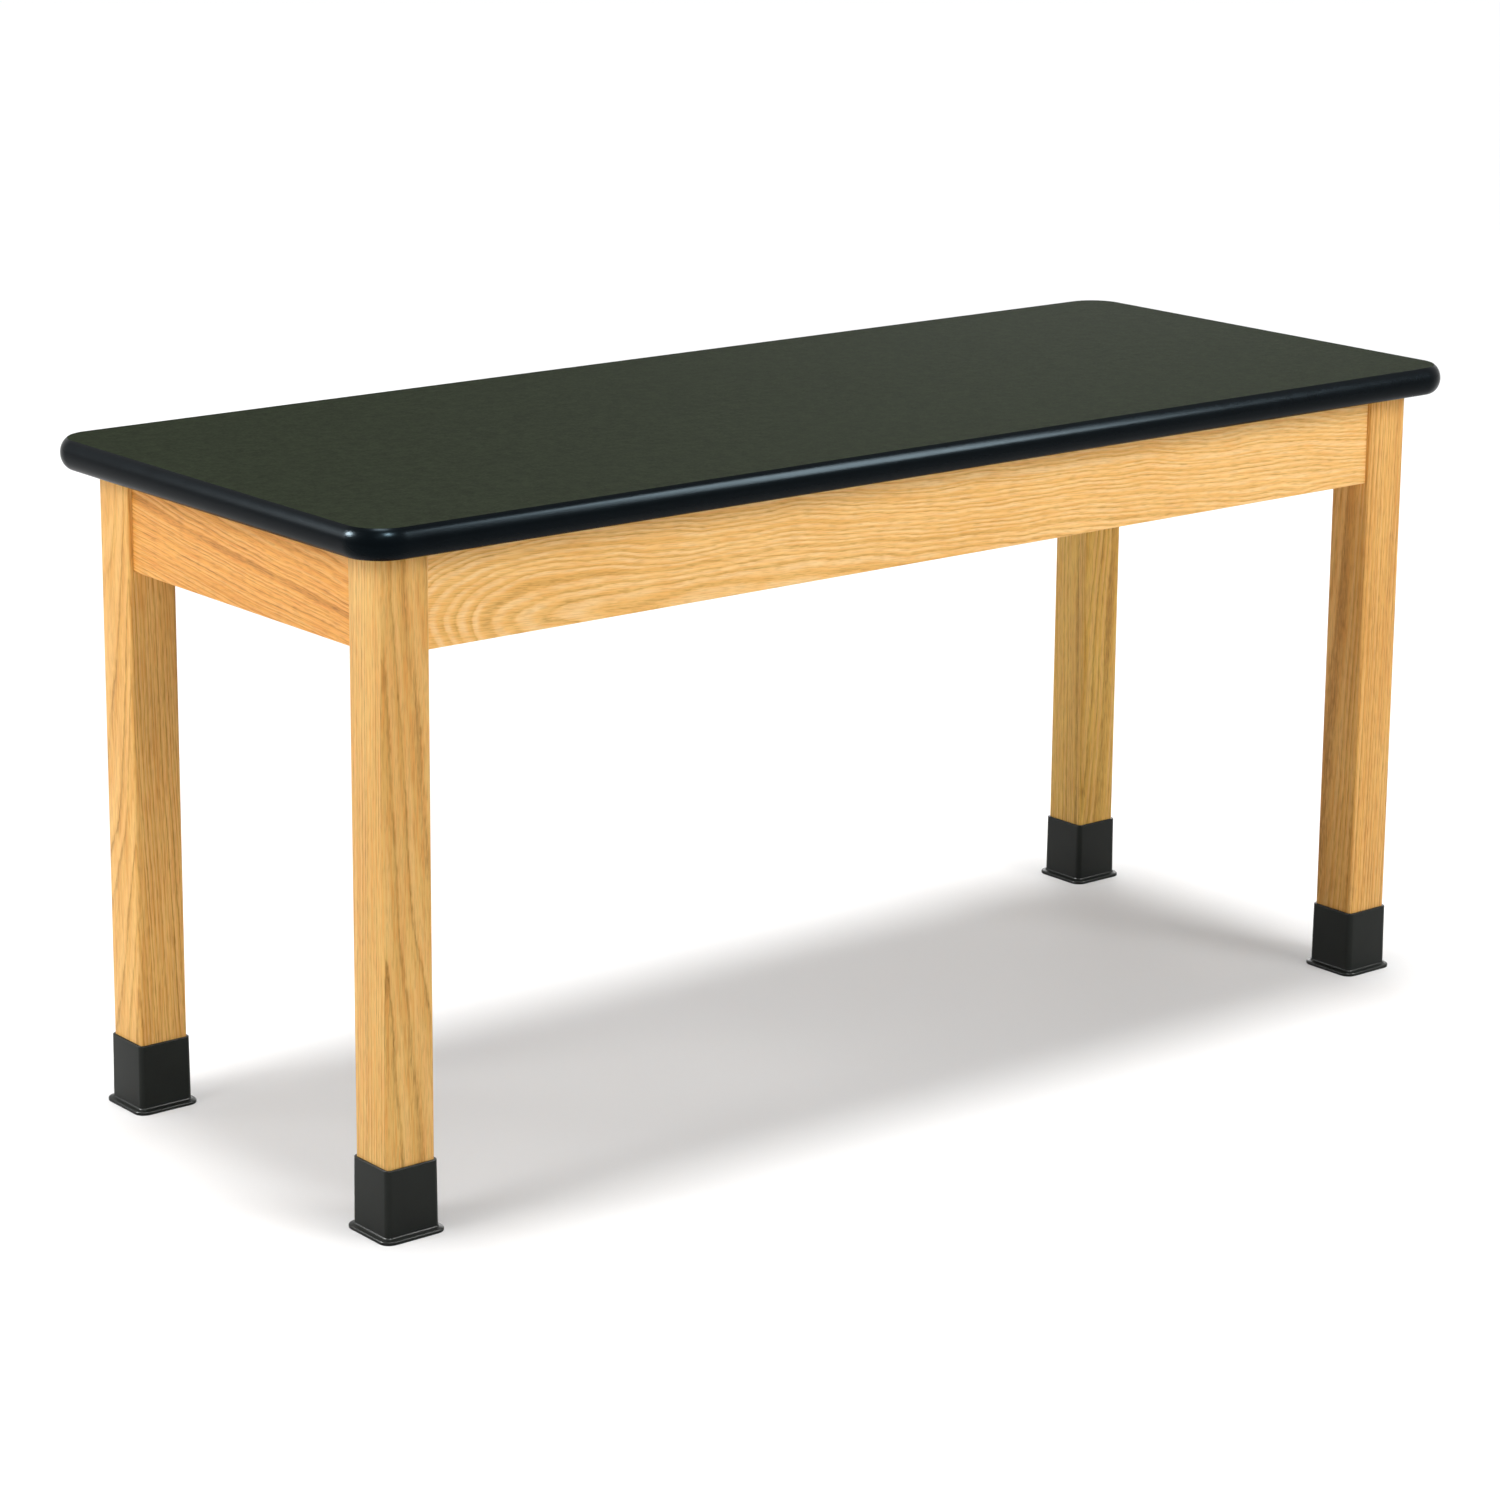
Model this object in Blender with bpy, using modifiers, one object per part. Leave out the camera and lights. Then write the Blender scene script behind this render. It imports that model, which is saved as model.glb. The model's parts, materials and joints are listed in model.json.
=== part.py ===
"""A science lab table: a laminate top on an oak frame of four legs and four aprons.

The legs are drawn into the aprons by steel corner brackets and hanger bolts. Each leg stands on a
levelling glide, hidden in a slip-on shoe. Metres, +Z up, +X along the table, +Y to its back, and the
origin on the floor under the middle of the top.
"""

import math

import bmesh
import bpy
from mathutils import Matrix, Vector

# Overall size
TABLE_LENGTH = 1.524
TABLE_DEPTH = 0.6096
TABLE_HEIGHT = 0.7366

# Gap left between two pieces that touch
SEAT_GAP = 0.0003

# Top: laminate, particleboard core and backing sheet
LAMINATE_THICKNESS = 0.0015
CORE_THICKNESS = 0.0286
BACKER_THICKNESS = 0.0010
CORE_CORNER_RADIUS = 0.0381

# Edge moulding: a bullnose cap with a barbed tongue that is knocked into a slot in the core
CAP_DEPTH = 0.0079
TONGUE_LENGTH = 0.0095
TONGUE_HALF_THICKNESS = 0.0008
BARB_HEIGHT = 0.0005
BARB_COUNT = 2

# Frame
LEG_WIDTH = 0.05715
LEG_ARRIS = 0.0032
LEG_INSET = 0.04128
APRON_THICKNESS = 0.01905
APRON_HEIGHT = 0.10478
APRON_RECESS = 0.0055
APRON_ARRIS = 0.0020
RAIL_THICKNESS = 0.01905
RAIL_HEIGHT = 0.0762
RAIL_HOUSING_DEPTH = 0.00635

# Corner bracket: a folded steel strip, hooked into saw kerfs in both aprons
LEG_CHAMFER = 0.018
BRACKET_STANDOFF = 0.008
BRACKET_SHEET = 0.0020
BRACKET_HEIGHT = 0.0762
BRACKET_DROP = 0.0180
BRACKET_WING = 0.032
HOOK_DEPTH = 0.0080
KERF_DEPTH = 0.0090

# Hanger bolts and their flange nuts
BOLT_RADIUS = 0.0040
BOLT_IN_LEG = 0.030
BOLT_SPACING = 0.0381
BOLT_TIP = 0.0060
BOLT_POINT = 0.0035
NUT_FLATS = 0.0127
NUT_HEIGHT = 0.0085
NUT_FLANGE_RADIUS = 0.0088
NUT_FLANGE_THICKNESS = 0.0018

# Pan head screws, one with each clip and four with each bracket
SCREW_RADIUS = 0.0021
SCREW_HEAD_RADIUS = 0.0045
SCREW_HEAD_HEIGHT = 0.0028
SCREW_LENGTH = 0.0150
SCREW_POINT = 0.0040
SCREW_BITE = 0.0005
WING_SCREW_SPACING = 0.0445

# Clips that hold the top down: a bent strip with its tongue in a groove along each apron
CLIP_SHEET = 0.0020
CLIP_WIDTH = 0.0160
CLIP_REACH = 0.0230
CLIP_STEP = 0.0030
CLIP_TONGUE = 0.0080
CLIP_GROOVE_DEPTH = 0.0095
CLIP_GROOVE_DROP = 0.0100
CLIP_GROOVE_PLAY = 0.0009
LONG_APRON_CLIP_PLACE = 0.330

# Levelling glide: a foot pad that swivels on a threaded stud with a hexagon collar
PAD_RADIUS = 0.0159
PAD_HEIGHT = 0.0080
PAD_CROWN_RADIUS = 0.0087
PAD_EDGE = 0.0010
PAD_SIDE = 0.0030
PAD_FLOOR = 0.0025
FOOT_RADIUS = 0.0056
FOOT_HEIGHT = 0.0020
NECK_RADIUS = 0.0040
COLLAR_FLATS = 0.0143
COLLAR_THICKNESS = 0.0050
STUD_RADIUS = 0.0047625
STUD_LENGTH = 0.0380
STUD_TIP = 0.0012
STUD_BORE_PLAY = 0.0006
INSERT_RADIUS = 0.0072
INSERT_LENGTH = 0.0150
INSERT_FLANGE_RADIUS = 0.0100
INSERT_FLANGE_THICKNESS = 0.0016

# Leg shoe: a moulded sleeve that turns through a fillet into a flat flange on the floor
SHOE_HEIGHT = 0.0762
SHOE_TOP_WALL = 0.0025
SHOE_BOTTOM_WALL = 0.0031
SHOE_TOP_EDGE = 0.0007
SHOE_FILLET_RADIUS = 0.0024
SHOE_FLANGE_HEIGHT = 0.0046
SHOE_FLANGE_REACH = 0.0091
SHOE_FLANGE_EDGE = 0.0016
SHOE_SOLE_EDGE = 0.0008

# How finely round stretches are cut
CORNER_STEPS = 6
SHOE_CORNER_STEPS = 4
ARRIS_STEPS = 3
BULLNOSE_STEPS = 10
FILLET_STEPS = 3
FLANGE_EDGE_STEPS = 2
DOME_STEPS = 2
TURNED_STEPS = 20
FASTENER_STEPS = 10
SMOOTH_ANGLE = math.radians(35.0)
WELD_DISTANCE = 0.000001

# Places worked out from the sizes above
TOP_THICKNESS = LAMINATE_THICKNESS + CORE_THICKNESS + BACKER_THICKNESS + 2 * SEAT_GAP
TOP_UNDERSIDE = TABLE_HEIGHT - TOP_THICKNESS
FRAME_TOP = TOP_UNDERSIDE - SEAT_GAP
CORE_HALF_LENGTH = TABLE_LENGTH / 2 - CAP_DEPTH - SEAT_GAP
CORE_HALF_DEPTH = TABLE_DEPTH / 2 - CAP_DEPTH - SEAT_GAP
LEG_CORNER_X = TABLE_LENGTH / 2 - LEG_INSET
LEG_CORNER_Y = TABLE_DEPTH / 2 - LEG_INSET
APRON_BACK = APRON_RECESS + APRON_THICKNESS
FOOT_BOTTOM = PAD_FLOOR + SEAT_GAP
COLLAR_BOTTOM = PAD_HEIGHT + SEAT_GAP
COLLAR_TOP = COLLAR_BOTTOM + COLLAR_THICKNESS
INSERT_BOTTOM = COLLAR_TOP + SEAT_GAP
LEG_BOTTOM = INSERT_BOTTOM + INSERT_FLANGE_THICKNESS + SEAT_GAP
STUD_TOP = COLLAR_TOP + STUD_LENGTH

# The bracket's folds, measured from the leg's outer corner along either apron
BRACKET_FACE = APRON_BACK + SEAT_GAP
CHAMFER_PLANE = 2 * LEG_WIDTH - LEG_CHAMFER
PLATE_PLANE = CHAMFER_PLANE + BRACKET_STANDOFF * math.sqrt(2.0)
WING_START = PLATE_PLANE - BRACKET_FACE
HOOK_PLACE = WING_START + BRACKET_WING
BRACKET_TOP = FRAME_TOP - BRACKET_DROP
BRACKET_MIDDLE = BRACKET_TOP - BRACKET_HEIGHT / 2

CORNER_NAMES = ("front_left", "front_right", "rear_right", "rear_left")
SIDE_NAMES = ("front", "right", "rear", "left")
QUARTER_TURN = math.pi / 2


def clear_scene():
    """Remove every object of the open scene."""
    for obj in list(bpy.data.objects):
        bpy.data.objects.remove(obj, do_unlink=True)


def new_collection(name):
    """Return a new collection in the scene."""
    collection = bpy.data.collections.new(name)
    bpy.context.scene.collection.children.link(collection)
    return collection


def linear(channel):
    """Return one sRGB channel as the linear value that a shader takes."""
    if channel <= 0.04045:
        return channel / 12.92
    return ((channel + 0.055) / 1.055) ** 2.4


def new_material(name, red, green, blue, roughness, metallic=0.0):
    """Return a Principled BSDF material, its colour given as sRGB values of 0 to 255."""
    material = bpy.data.materials.new(name)
    material.use_nodes = True
    shader = material.node_tree.nodes["Principled BSDF"]
    colour = [linear(channel / 255.0) for channel in (red, green, blue)]
    shader.inputs["Base Color"].default_value = (*colour, 1.0)
    shader.inputs["Roughness"].default_value = roughness
    shader.inputs["Metallic"].default_value = metallic
    material.diffuse_color = (*colour, 1.0)
    return material


def new_part(name, mesh, finish, collection, parent=None, place=None):
    """Return a named part that shows the mesh in its finish, placed by a matrix under its parent.

    The finish is copied under the part's own name, so that each part has its own material.
    """
    own = finish.copy()
    own.name = name
    obj = bpy.data.objects.new(name, mesh.copy())
    obj.data.name = name
    obj.data.materials.clear()
    obj.data.materials.append(own)
    obj.data.shade_smooth()
    obj.data.set_sharp_from_angle(angle=SMOOTH_ANGLE)
    obj.parent = parent
    obj.matrix_basis = place or Matrix()
    collection.objects.link(obj)
    return obj


def evaluated_mesh(obj):
    """Return the object's mesh with its modifiers applied and its seams welded."""
    depsgraph = bpy.context.evaluated_depsgraph_get()
    mesh = bpy.data.meshes.new_from_object(obj.evaluated_get(depsgraph))
    bpy.data.objects.remove(obj, do_unlink=True)
    shape = bmesh.new()
    shape.from_mesh(mesh)
    bmesh.ops.remove_doubles(shape, verts=shape.verts, dist=WELD_DISTANCE)
    bmesh.ops.dissolve_degenerate(shape, edges=shape.edges, dist=WELD_DISTANCE)
    bmesh.ops.recalc_face_normals(shape, faces=shape.faces)
    shape.to_mesh(mesh)
    shape.free()
    return mesh


def mesh_from(shape, name):
    """Return a mesh of the bmesh shape, and free the shape."""
    mesh = bpy.data.meshes.new(name)
    shape.to_mesh(mesh)
    shape.free()
    return mesh


def loose_object(name, data):
    """Return an object in the scene's own collection, for a modifier or a curve to be read from."""
    obj = bpy.data.objects.new(name, data)
    bpy.context.scene.collection.objects.link(obj)
    return obj


def add_box(shape, low, high):
    """Add a box between two opposite corners, given in any order."""
    first, second = Vector(low), Vector(high)
    size = Vector([abs(second[axis] - first[axis]) for axis in range(3)])
    place = Matrix.Translation((first + second) / 2) @ Matrix.Diagonal((*size, 1.0))
    bmesh.ops.create_cube(shape, size=1.0, matrix=place)


def add_rod(shape, start, end, radius, sides=FASTENER_STEPS):
    """Add a round rod between two points."""
    first, second = Vector(start), Vector(end)
    along = second - first
    turn = along.to_track_quat("Z", "Y").to_matrix().to_4x4()
    bmesh.ops.create_cone(
        shape,
        cap_ends=True,
        segments=sides,
        radius1=radius,
        radius2=radius,
        depth=along.length,
        matrix=Matrix.Translation((first + second) / 2) @ turn,
    )


def boolean_mesh(name, mesh, tools, operation="DIFFERENCE"):
    """Return the mesh after each tool mesh in turn has been cut from it or joined to it."""
    obj = loose_object(name, mesh)
    cutters = []
    for tool in tools:
        cutter = loose_object(name + "_tool", tool)
        cutter.display_type = "WIRE"
        cutter.hide_render = True
        modifier = obj.modifiers.new(tool.name, "BOOLEAN")
        modifier.operation = operation
        modifier.solver = "EXACT"
        modifier.object = cutter
        cutters.append(cutter)
    result = evaluated_mesh(obj)
    for cutter in cutters:
        bpy.data.objects.remove(cutter, do_unlink=True)
    return result


def arc(centre_x, centre_y, radius, start, turn, steps):
    """Return steps + 1 points on an arc, its start and turn in radians."""
    points = []
    for step in range(steps + 1):
        angle = start + turn * step / steps
        points.append((centre_x + radius * math.cos(angle), centre_y + radius * math.sin(angle)))
    return points


def rounded_rectangle(half_width, half_height, radius, steps):
    """Return the outline of a rectangle with four round corners, anticlockwise from its right side."""
    inner_x, inner_y = half_width - radius, half_height - radius
    outline = []
    for quarter, (side_x, side_y) in enumerate(((1, 1), (-1, 1), (-1, -1), (1, -1))):
        centre = (side_x * inner_x, side_y * inner_y)
        outline += arc(*centre, radius, quarter * QUARTER_TURN, QUARTER_TURN, steps)
    return outline


def regular_outline(flats, sides):
    """Return a regular polygon, given the distance across its flats."""
    return arc(0.0, 0.0, flats / 2 / math.cos(math.pi / sides), 0.0, 2 * math.pi, sides)[:-1]


def add_spline(curve, outline):
    """Add a closed poly spline through the outline's points to the curve."""
    spline = curve.splines.new("POLY")
    spline.points.add(len(outline) - 1)
    for point, (x, y) in zip(spline.points, outline):
        point.co = (x, y, 0.0, 1.0)
    spline.use_cyclic_u = True


def plate_mesh(name, outlines, thickness):
    """Return a plate from z = 0 up to its thickness. Outlines after the first are its holes."""
    curve = bpy.data.curves.new(name, "CURVE")
    curve.dimensions = "2D"
    curve.fill_mode = "BOTH"
    curve.extrude = thickness / 2
    for outline in outlines:
        add_spline(curve, outline)
    mesh = evaluated_mesh(loose_object(name, curve))
    mesh.transform(Matrix.Translation((0.0, 0.0, thickness / 2)))
    return mesh


def ring_mesh(name, half_width, half_height, radius, steps, section):
    """Return a closed section swept round a rounded rectangle.

    The section's points are (outward, up) from the rectangle, which lies at z = 0.
    """
    section_curve = bpy.data.curves.new(name + "_section", "CURVE")
    section_curve.dimensions = "2D"
    add_spline(section_curve, [(-outward, up) for outward, up in section])
    section_object = loose_object(name + "_section", section_curve)
    path = bpy.data.curves.new(name, "CURVE")
    path.dimensions = "2D"
    path.bevel_mode = "OBJECT"
    path.bevel_object = section_object
    add_spline(path, rounded_rectangle(half_width, half_height, radius, steps))
    mesh = evaluated_mesh(loose_object(name, path))
    bpy.data.objects.remove(section_object, do_unlink=True)
    return mesh


def turned_mesh(name, profile, steps=TURNED_STEPS, closed=False):
    """Return the (radius, height) profile turned once about Z.

    The profile runs down its outer side. An open one starts and ends on the axis.
    """
    mesh = bpy.data.meshes.new(name)
    edges = [(index, index + 1) for index in range(len(profile) - 1)]
    if closed:
        edges.append((len(profile) - 1, 0))
    mesh.from_pydata([(radius, 0.0, height) for radius, height in profile], edges, [])
    obj = loose_object(name, mesh)
    screw = obj.modifiers.new("turn", "SCREW")
    screw.axis = "Z"
    screw.angle = 2 * math.pi
    screw.steps = steps
    screw.render_steps = steps
    screw.use_merge_vertices = True
    screw.merge_threshold = WELD_DISTANCE
    return evaluated_mesh(obj)


def facing(direction):
    """Return the turn that points a piece's +Z along the direction."""
    return Vector(direction).to_track_quat("Z", "Y").to_matrix().to_4x4()


def screw_mesh():
    """Return a pan head screw, pointing up +Z, its head sunk SCREW_BITE into the sheet at z = 0."""
    dome = arc(0.0, 0.0, 1.0, 0.0, -QUARTER_TURN, DOME_STEPS)
    profile = [(0.0, SCREW_LENGTH), (SCREW_RADIUS, SCREW_LENGTH - SCREW_POINT)]
    profile += [(SCREW_RADIUS, SCREW_BITE), (SCREW_HEAD_RADIUS, SCREW_BITE)]
    profile += [(SCREW_HEAD_RADIUS * across, SCREW_HEAD_HEIGHT * up) for across, up in dome[:-1]]
    profile.append((0.0, -SCREW_HEAD_HEIGHT))
    return turned_mesh("screw", profile, FASTENER_STEPS)


def placed_copies(mesh, places):
    """Return a copy of the mesh for each place."""
    copies = []
    for place in places:
        copy = mesh.copy()
        copy.transform(place)
        copies.append(copy)
    return copies


def corner_places():
    """Return the frame of each leg's outer corner, with +X and +Y pointing in under the table."""
    places = []
    for quarter, (side_x, side_y) in enumerate(((-1, -1), (1, -1), (1, 1), (-1, 1))):
        corner = Matrix.Translation((side_x * LEG_CORNER_X, side_y * LEG_CORNER_Y, 0.0))
        places.append(corner @ Matrix.Rotation(quarter * QUARTER_TURN, 4, "Z"))
    return places


def bolt_heights():
    """Return the heights of a corner's two hanger bolts."""
    return [BRACKET_MIDDLE - BOLT_SPACING / 2, BRACKET_MIDDLE + BOLT_SPACING / 2]


def wing_screw_heights():
    """Return the heights of the two screws in each wing of a bracket."""
    return [BRACKET_MIDDLE - WING_SCREW_SPACING / 2, BRACKET_MIDDLE + WING_SCREW_SPACING / 2]


def wing_screw_place():
    """Return how far along the apron a wing's screws sit."""
    return WING_START + BRACKET_WING / 2


def clip_frames():
    """Return each clip's name and frame: on an apron's inner face at floor level, +Y pointing in."""
    frames = {}
    for quarter, side in enumerate(SIDE_NAMES):
        turn = Matrix.Rotation(quarter * QUARTER_TURN, 4, "Z")
        long_side = quarter % 2 == 0
        corner = LEG_CORNER_Y if long_side else LEG_CORNER_X
        places = {"": 0.0}
        if long_side:
            places = {"_a": -LONG_APRON_CLIP_PLACE, "_b": LONG_APRON_CLIP_PLACE}
        for suffix, along in places.items():
            apron = Matrix.Translation((along, APRON_BACK - corner, 0.0))
            frames["top_clip_" + side + suffix] = turn @ apron
    return frames


def clip_screw_place():
    """Return where a clip's screw head meets its flange, in the clip's frame."""
    middle = (CLIP_STEP + CLIP_SHEET + CLIP_REACH) / 2
    return Vector((0.0, middle, FRAME_TOP - CLIP_SHEET))


def build_top(parts, finishes):
    """Model the core, the laminate, the backing sheet and the edge moulding."""
    outline = rounded_rectangle(CORE_HALF_LENGTH, CORE_HALF_DEPTH, CORE_CORNER_RADIUS, CORNER_STEPS)
    core_bottom = TOP_UNDERSIDE + BACKER_THICKNESS + SEAT_GAP
    core_middle = core_bottom + CORE_THICKNESS / 2

    slot_half = TONGUE_HALF_THICKNESS + BARB_HEIGHT + SEAT_GAP
    slot_depth = TONGUE_LENGTH + SEAT_GAP
    slot_section = [(CAP_DEPTH, slot_half), (CAP_DEPTH, -slot_half)]
    slot_section += [(-slot_depth, -slot_half), (-slot_depth, slot_half)]
    rim = (CORE_HALF_LENGTH, CORE_HALF_DEPTH, CORE_CORNER_RADIUS, CORNER_STEPS)
    slot = ring_mesh("tongue_slot", *rim, slot_section)
    slot.transform(Matrix.Translation((0.0, 0.0, core_middle)))

    pilots = bmesh.new()
    reach = Vector((0.0, 0.0, SCREW_LENGTH + SEAT_GAP))
    for frame in clip_frames().values():
        foot = frame @ clip_screw_place()
        add_rod(pilots, foot, foot + reach, SCREW_RADIUS + SEAT_GAP)
    pilot_holes = mesh_from(pilots, "pilot_holes")

    core = plate_mesh("top_core", [outline], CORE_THICKNESS)
    core.transform(Matrix.Translation((0.0, 0.0, core_bottom)))
    core = boolean_mesh("top_core", core, [slot, pilot_holes])
    new_part("top_core", core, finishes["particleboard"], parts)

    backer = plate_mesh("top_backer", [outline], BACKER_THICKNESS)
    backer.transform(Matrix.Translation((0.0, 0.0, TOP_UNDERSIDE)))
    backer = boolean_mesh("top_backer", backer, [pilot_holes])
    new_part("top_backer", backer, finishes["backer"], parts)

    laminate = plate_mesh("top_laminate", [outline], LAMINATE_THICKNESS)
    laminate.transform(Matrix.Translation((0.0, 0.0, TABLE_HEIGHT - LAMINATE_THICKNESS)))
    new_part("top_laminate", laminate, finishes["laminate"], parts)

    moulding = ring_mesh("edge_moulding", *rim, moulding_section(core_middle))
    moulding.transform(Matrix.Translation((0.0, 0.0, core_middle)))
    new_part("edge_moulding", moulding, finishes["vinyl"], parts)


def moulding_section(core_middle):
    """Return the T-shaped section of the edge moulding, (outward, up) from the tongue's middle."""
    above = TABLE_HEIGHT - core_middle
    below = core_middle - TOP_UNDERSIDE
    middle = (above - below) / 2
    half = (above + below) / 2
    section = []
    for across, up in arc(0.0, 0.0, 1.0, QUARTER_TURN, -math.pi, BULLNOSE_STEPS):
        section.append((SEAT_GAP + CAP_DEPTH * across, middle + half * up))
    pitch = TONGUE_LENGTH / (BARB_COUNT + 1)
    lower = [(SEAT_GAP, -TONGUE_HALF_THICKNESS)]
    for barb in range(1, BARB_COUNT + 1):
        lower.append((-barb * pitch, -TONGUE_HALF_THICKNESS - BARB_HEIGHT))
        lower.append((-barb * pitch, -TONGUE_HALF_THICKNESS))
    lower.append((-TONGUE_LENGTH, -TONGUE_HALF_THICKNESS / 2))
    upper = [(outward, -up) for outward, up in reversed(lower)]
    return section + lower + upper


def board_mesh(name, length, thickness, height, arris):
    """Return a board along X, its outer face at y = 0, its top at z = 0 and its lower edges eased."""
    lower = -height
    section = [(0.0, 0.0)]
    section += arc(arris, lower + arris, arris, math.pi, QUARTER_TURN, ARRIS_STEPS)
    section += arc(thickness - arris, lower + arris, arris, -QUARTER_TURN, QUARTER_TURN, ARRIS_STEPS)
    section.append((thickness, 0.0))
    board = plate_mesh(name, [section], length)
    board.transform(Matrix.Translation((0.0, 0.0, -length / 2)))
    across_to_y = Matrix(((0, 0, 1, 0), (1, 0, 0, 0), (0, 1, 0, 0), (0, 0, 0, 1)))
    board.transform(across_to_y)
    return board


def apron_mesh(name, length, middle_to_corner, housing):
    """Return an apron with the clip groove, the bracket kerfs, the pilot holes and any rail housing.

    Its outer face is at y = 0 and its top at z = 0. The leg corners lie at plus and minus
    middle_to_corner along X.
    """
    board = board_mesh(name, length, APRON_THICKNESS, APRON_HEIGHT, APRON_ARRIS)
    past = APRON_THICKNESS
    inner = APRON_THICKNESS
    groove = bmesh.new()
    groove_top = -CLIP_GROOVE_DROP
    groove_bottom = groove_top - CLIP_SHEET - CLIP_GROOVE_PLAY
    add_box(
        groove,
        (-length, inner - CLIP_GROOVE_DEPTH, groove_bottom),
        (length, inner + past, groove_top),
    )
    kerfs = bmesh.new()
    holes = bmesh.new()
    for side in (-1, 1):
        near = middle_to_corner - HOOK_PLACE + SEAT_GAP
        far = middle_to_corner - HOOK_PLACE - BRACKET_SHEET - SEAT_GAP
        add_box(
            kerfs,
            (side * near, inner - KERF_DEPTH, -APRON_HEIGHT - past),
            (side * far, inner + past, past),
        )
        along = side * (middle_to_corner - wing_screw_place())
        for height in wing_screw_heights():
            drop = height - FRAME_TOP
            deep = inner - (SCREW_LENGTH - BRACKET_SHEET)
            add_rod(holes, (along, deep, drop), (along, inner + past, drop), SCREW_RADIUS + SEAT_GAP)
    tools = [mesh_from(groove, "clip_groove"), mesh_from(kerfs, "bracket_kerfs")]
    tools.append(mesh_from(holes, "pilot_holes"))
    if housing:
        dado = bmesh.new()
        half = RAIL_THICKNESS / 2 + SEAT_GAP
        add_box(
            dado,
            (-half, inner - RAIL_HOUSING_DEPTH, -RAIL_HEIGHT - SEAT_GAP),
            (half, inner + past, past),
        )
        tools.append(mesh_from(dado, "rail_housing"))
    return boolean_mesh(name, board, tools)


def build_aprons(parts, finishes):
    """Model the four aprons, each between two legs and set back from their faces."""
    long_apron = apron_mesh(
        "long_apron",
        2 * (LEG_CORNER_X - LEG_WIDTH - SEAT_GAP),
        LEG_CORNER_X,
        housing=True,
    )
    short_apron = apron_mesh(
        "short_apron",
        2 * (LEG_CORNER_Y - LEG_WIDTH - SEAT_GAP),
        LEG_CORNER_Y,
        housing=False,
    )
    sides = (
        ("front_apron", long_apron, LEG_CORNER_Y, 0),
        ("right_apron", short_apron, LEG_CORNER_X, 1),
        ("rear_apron", long_apron, LEG_CORNER_Y, 2),
        ("left_apron", short_apron, LEG_CORNER_X, 3),
    )
    for name, mesh, outer_face, quarter in sides:
        turn = Matrix.Rotation(quarter * QUARTER_TURN, 4, "Z")
        place = turn @ Matrix.Translation((0.0, APRON_RECESS - outer_face, FRAME_TOP))
        new_part(name, mesh, finishes["oak"], parts, place=place)


def build_centre_rail(parts, finishes):
    """Model the rail that ties the long aprons together, its ends housed in both."""
    length = 2 * (LEG_CORNER_Y - APRON_BACK + RAIL_HOUSING_DEPTH - SEAT_GAP)
    rail = board_mesh("centre_rail", length, RAIL_THICKNESS, RAIL_HEIGHT, APRON_ARRIS)
    rail.transform(Matrix.Translation((0.0, -RAIL_THICKNESS / 2, 0.0)))
    place = Matrix.Translation((0.0, 0.0, FRAME_TOP)) @ Matrix.Rotation(QUARTER_TURN, 4, "Z")
    new_part("centre_rail", rail, finishes["oak"], parts, place=place)


def leg_mesh():
    """Return a leg with its inner corner planed off behind the bracket, and its bolt and glide bores."""
    half = LEG_WIDTH / 2
    outline = rounded_rectangle(half, half, LEG_ARRIS, ARRIS_STEPS)
    leg = plate_mesh("leg", [outline], FRAME_TOP - LEG_BOTTOM)
    leg.transform(Matrix.Translation((half, half, LEG_BOTTOM)))

    planed = bmesh.new()
    add_box(
        planed,
        (-LEG_WIDTH, 0.0, FRAME_TOP - APRON_HEIGHT),
        (LEG_WIDTH, LEG_WIDTH, FRAME_TOP + LEG_WIDTH),
    )
    slant = Matrix.Rotation(-math.pi / 4, 4, "Z")
    planed_corner = mesh_from(planed, "planed_corner")
    planed_corner.transform(Matrix.Translation((CHAMFER_PLANE / 2, CHAMFER_PLANE / 2, 0.0)) @ slant)

    bolts = bmesh.new()
    inward = Vector((1.0, 1.0, 0.0)).normalized()
    for height in bolt_heights():
        mouth = Vector((CHAMFER_PLANE / 2, CHAMFER_PLANE / 2, height))
        deep = mouth - inward * (BOLT_IN_LEG + SEAT_GAP)
        add_rod(bolts, deep, mouth + inward * LEG_CHAMFER, BOLT_RADIUS + SEAT_GAP)

    below = LEG_BOTTOM - INSERT_FLANGE_THICKNESS
    insert_bore = bmesh.new()
    insert_top = LEG_BOTTOM + INSERT_LENGTH + SEAT_GAP
    insert_wall = INSERT_RADIUS + SEAT_GAP
    add_rod(insert_bore, (half, half, below), (half, half, insert_top), insert_wall, TURNED_STEPS)
    stud_bore = bmesh.new()
    stud_top = STUD_TOP + SEAT_GAP
    stud_wall = STUD_RADIUS + STUD_BORE_PLAY
    add_rod(stud_bore, (half, half, below), (half, half, stud_top), stud_wall, TURNED_STEPS)
    tools = [planed_corner, mesh_from(bolts, "bolt_bores"), mesh_from(insert_bore, "insert_bore")]
    tools.append(mesh_from(stud_bore, "stud_bore"))
    return boolean_mesh("leg", leg, tools)


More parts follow.
